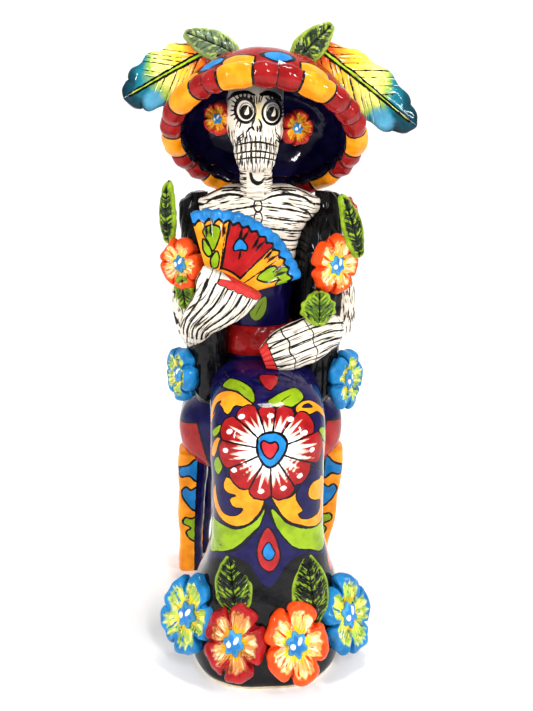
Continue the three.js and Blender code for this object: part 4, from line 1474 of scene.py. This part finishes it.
# ---- the whole lady ----
skirt()
torso()
belt()
neck()
skull()
shawl_side(-1, "shawl_right", 21)
shawl_side(1, "shawl_left", 24)
shawl_back()

arm(
    "right_arm", ((-60, -16, 328), (-66, -18, 296), (-62, -24, 260)),
    ((8, 8), (9.5, 9), (9, 9), (9.5, 9.5), (8, 8))
)
arm(
    "left_arm", ((60, -16, 326), (68, -14, 294), (68, -20, 260)),
    ((8, 8), (9.5, 9), (9, 9), (9.5, 9.5), (8, 8))
)
hand(
    "right_hand",
    ((-57, -22, 258), (-53, -42, 276), (-36, -64, 298), (-26, -73, 317)),
    ((11, 11), (13, 11), (15.5, 10), (20, 9), (25, 7.5), (25, 5.5)),
    fingers=7,
    bands=(0.12,),
    nail_from=0.955,
    nail_to=1.06,
    nail_side=-0.4,
    seed=12,
)
hand(
    "left_hand",
    ((66, -12, 262), (48, -40, 264), (22, -56, 258), (-2, -58, 249)),
    ((9, 9), (14, 11), (18, 11), (19, 10), (17, 9), (9, 6)),
    fingers=5,
    bands=(0.26, 0.56, 0.76),
    nail_from=0.91,
    nail_to=1.1,
    nail_side=-2,
    seed=13,
)
fan()
hat_rim()
hat_shell()

leaf(
    "hat_leaf_right", 47, 22, (-18, -20, 480), (-0.1, -0.9, 0.5), (-0.87, 0, 0.5), seed=61,
    inside="#56684a", edge="#93a45c"
)
leaf(
    "hat_leaf_left", 46, 21, (22, -20, 474), (0.15, -0.95, 0.3), (0.72, 0.1, 0.69), seed=62,
    inside="#27381a", edge="#93a838"
)
leaf("shoulder_leaf_right", 50, 15, (-75, -18, 336), (-0.6, -0.8, 0.05), (0.06, 0.1, 1), 6, 63)
leaf("shoulder_leaf_left", 54, 17, (78, -24, 324), (0.45, -0.85, 0.1), (-0.37, 0.1, 0.93), 6, 64)
leaf(
    "cuff_leaf_right", 27, 15, (-64, -33, 312), (-0.45, -1, 0), (0.1, 0, -1), 6, 65, inside="#4c6b14",
    ruffle=0.8
)
leaf(
    "cuff_leaf_left", 26, 27, (42, -54, 277), (0.2, -1, 0.15), (-0.02, 0.25, 1), 7, 66, inside="#4c6b14",
    ruffle=0.8
)
leaf(
    "hem_leaf_right", 48, 29, (-26, -135, 62), (-0.3, -1, 0.3), (-0.1, 0.3, 1), 6, 67, inside="#0f1a08",
    edge="#7e9a1c"
)
leaf(
    "hem_leaf_left", 58, 30, (34, -136, 52), (0.35, -1, 0.3), (-0.12, 0.3, 1), 6, 68, inside="#0f1a08",
    edge="#7e9a1c"
)
plume("plume_right", 76, 50, (-40, -6, 483), (-0.05, -1, 0.25), (-0.88, 0.02, -0.47), 71, 1)
plume("plume_left", 99, 50, (43, -4, 485), (0.05, -1, 0.22), (0.8, 0.02, -0.6), 72, -1)

reds = {"slot": "red_glaze", "petal": "#9c1518", "zone": "#e9a05a", "streak": "#f7e0b0", "ring": "#f3ac1c"}
ears = {**reds, "petal": "#b3241a", "zone": "#ec9a26", "streak": "#f7d04a"}
oranges = {
    "slot": "scarlet_glaze", "petal": "#ee4a10", "zone": "#fbc673", "streak": "#fdeec6", "ring": "#fcd021",
    "spread": 0.05
}
blues = {
    "slot": "sky_glaze", "petal": "#1a78b4", "zone": "#b9d25e", "streak": "#f0ea84", "ring": "#f0d63a",
    "spread": 0.04
}
flower("ear_flower_right", (-34, -18, 434), (-0.55, -1, 0.05), 13.5, 1, seed=81, **ears)
flower("ear_flower_left", (26, -20, 427), (0.45, -1, 0.05), 14.5, 1, seed=82, **ears)
flower("shoulder_flower_right", (-64, -30, 322), (-0.8, -0.9, 0.1), 22.5, 1, seed=83, **oranges)
flower("shoulder_flower_left", (57, -30, 319), (0.5, -0.85, 0.1), 22.5, 1.12, seed=84, **oranges)
flower("hip_flower_right", (-67, -24, 226), (-1, -0.5, 0.1), 24, 1, seed=85, **blues)
flower("hip_flower_left", (68, -26, 219), (1, -0.7, 0.1), 25, 1.1, seed=86, **blues)
flower("back_flower_left", (74, 8, 355), (0.8, -0.4, 0.35), 14, 1, seed=87, **reds)
flower("hem_flower_far_right", (-62.5, -112.5, 49.5), (-0.85, -0.95, 0.42), 29, 1.2, seed=88, **blues)
flower("hem_flower_right", (-28, -143, 43), (-0.28, -1, 0.4), 26, 1.27, seed=89, **reds)
flower("hem_flower_left", (19, -147, 43), (0.12, -1, 0.4), 26.5, 1.28, seed=90, **oranges)
flower("hem_flower_far_left", (61, -115, 46.5), (0.9, -0.95, 0.4), 28, 1.25, seed=91, **blues)
seat()
for number, (name, path) in enumerate(LEGS.items()):
    leg(name, path, 101 + number)


# ---- studio: a pale sweep, soft lights and the camera ----
def flat_material(name, colour, rough):
    material = bpy.data.materials.new(name)
    material.use_nodes = True
    inputs = material.node_tree.nodes["Principled BSDF"].inputs
    inputs["Base Color"].default_value = [*rgb(colour), 1]
    inputs["Roughness"].default_value = rough
    return material


def sweep():
    """A floor that curves up into a wall behind the piece."""
    bend = np.linspace(0, np.pi / 2, 25)
    y = np.concatenate([[-3.0], 1.2 + 0.6 * np.sin(bend), [1.8]])
    z = np.concatenate([[0.0], 0.6 - 0.6 * np.cos(bend), [3.0]])
    verts = [(x, v, w) for v, w in zip(y, z) for x in (-3.0, 3.0)]
    faces = [(2 * k, 2 * k + 1, 2 * k + 3, 2 * k + 2) for k in range(len(y) - 1)]
    mesh = bpy.data.meshes.new("sweep")
    mesh.from_pydata(verts, [], faces)
    mesh.polygons.foreach_set("use_smooth", [True] * len(faces))
    mesh.materials.append(flat_material("sweep_paper", "#ffffff", 0.9))
    made = bpy.data.objects.new("sweep", mesh)
    bpy.context.scene.collection.objects.link(made)


def aimed(thing, place, target):
    thing.location = place
    thing.rotation_euler = (Vector(target) - Vector(place)).to_track_quat("-Z", "Y").to_euler()


def softbox(name, place, width, height, power, target=(0.0, 0.0, 0.28)):
    lamp = bpy.data.lights.new(name, "AREA")
    lamp.shape = "RECTANGLE"
    lamp.size, lamp.size_y, lamp.energy = width, height, power
    made = bpy.data.objects.new(name, lamp)
    bpy.context.scene.collection.objects.link(made)
    aimed(made, place, target)


CAMERA_PLACE = (-35.25, -748.97, 480.0)
CAMERA_YAW, CAMERA_PITCH = 3, 18.26
SENSOR_HEIGHT, FOCAL_LENGTH = 36.0, 45.82


def camera():
    lens = bpy.data.cameras.new("camera")
    lens.sensor_fit, lens.sensor_height, lens.lens = "VERTICAL", SENSOR_HEIGHT, FOCAL_LENGTH
    made = bpy.data.objects.new("camera", lens)
    bpy.context.scene.collection.objects.link(made)
    place = (np.array(CAMERA_PLACE) + ANCHOR) / 1000
    yaw, pitch = np.radians(CAMERA_YAW), np.radians(CAMERA_PITCH)
    ahead = np.array([np.sin(yaw) * np.cos(pitch), np.cos(yaw) * np.cos(pitch), -np.sin(pitch)])
    aimed(made, [float(v) for v in place], [float(v) for v in place + ahead])
    bpy.context.scene.camera = made


def world():
    made = bpy.data.worlds.new("studio")
    made.use_nodes = True
    background = made.node_tree.nodes["Background"]
    background.inputs["Color"].default_value = (1, 1, 1, 1)
    background.inputs["Strength"].default_value = 0.5
    bpy.context.scene.world = made


sweep()
softbox("key_left", (-1.2, -1.1, 0.95), 0.07, 0.6, 17)
softbox("key_right", (1.2, -0.9, 0.95), 0.07, 0.6, 15)
softbox("top", (0.1, 0.1, 1.6), 0.4, 0.2, 12)
softbox("front", (0.3, -1.15, 1.2), 0.05, 0.5, 7)
camera()
world()
bpy.context.scene.view_settings.view_transform = "Standard"
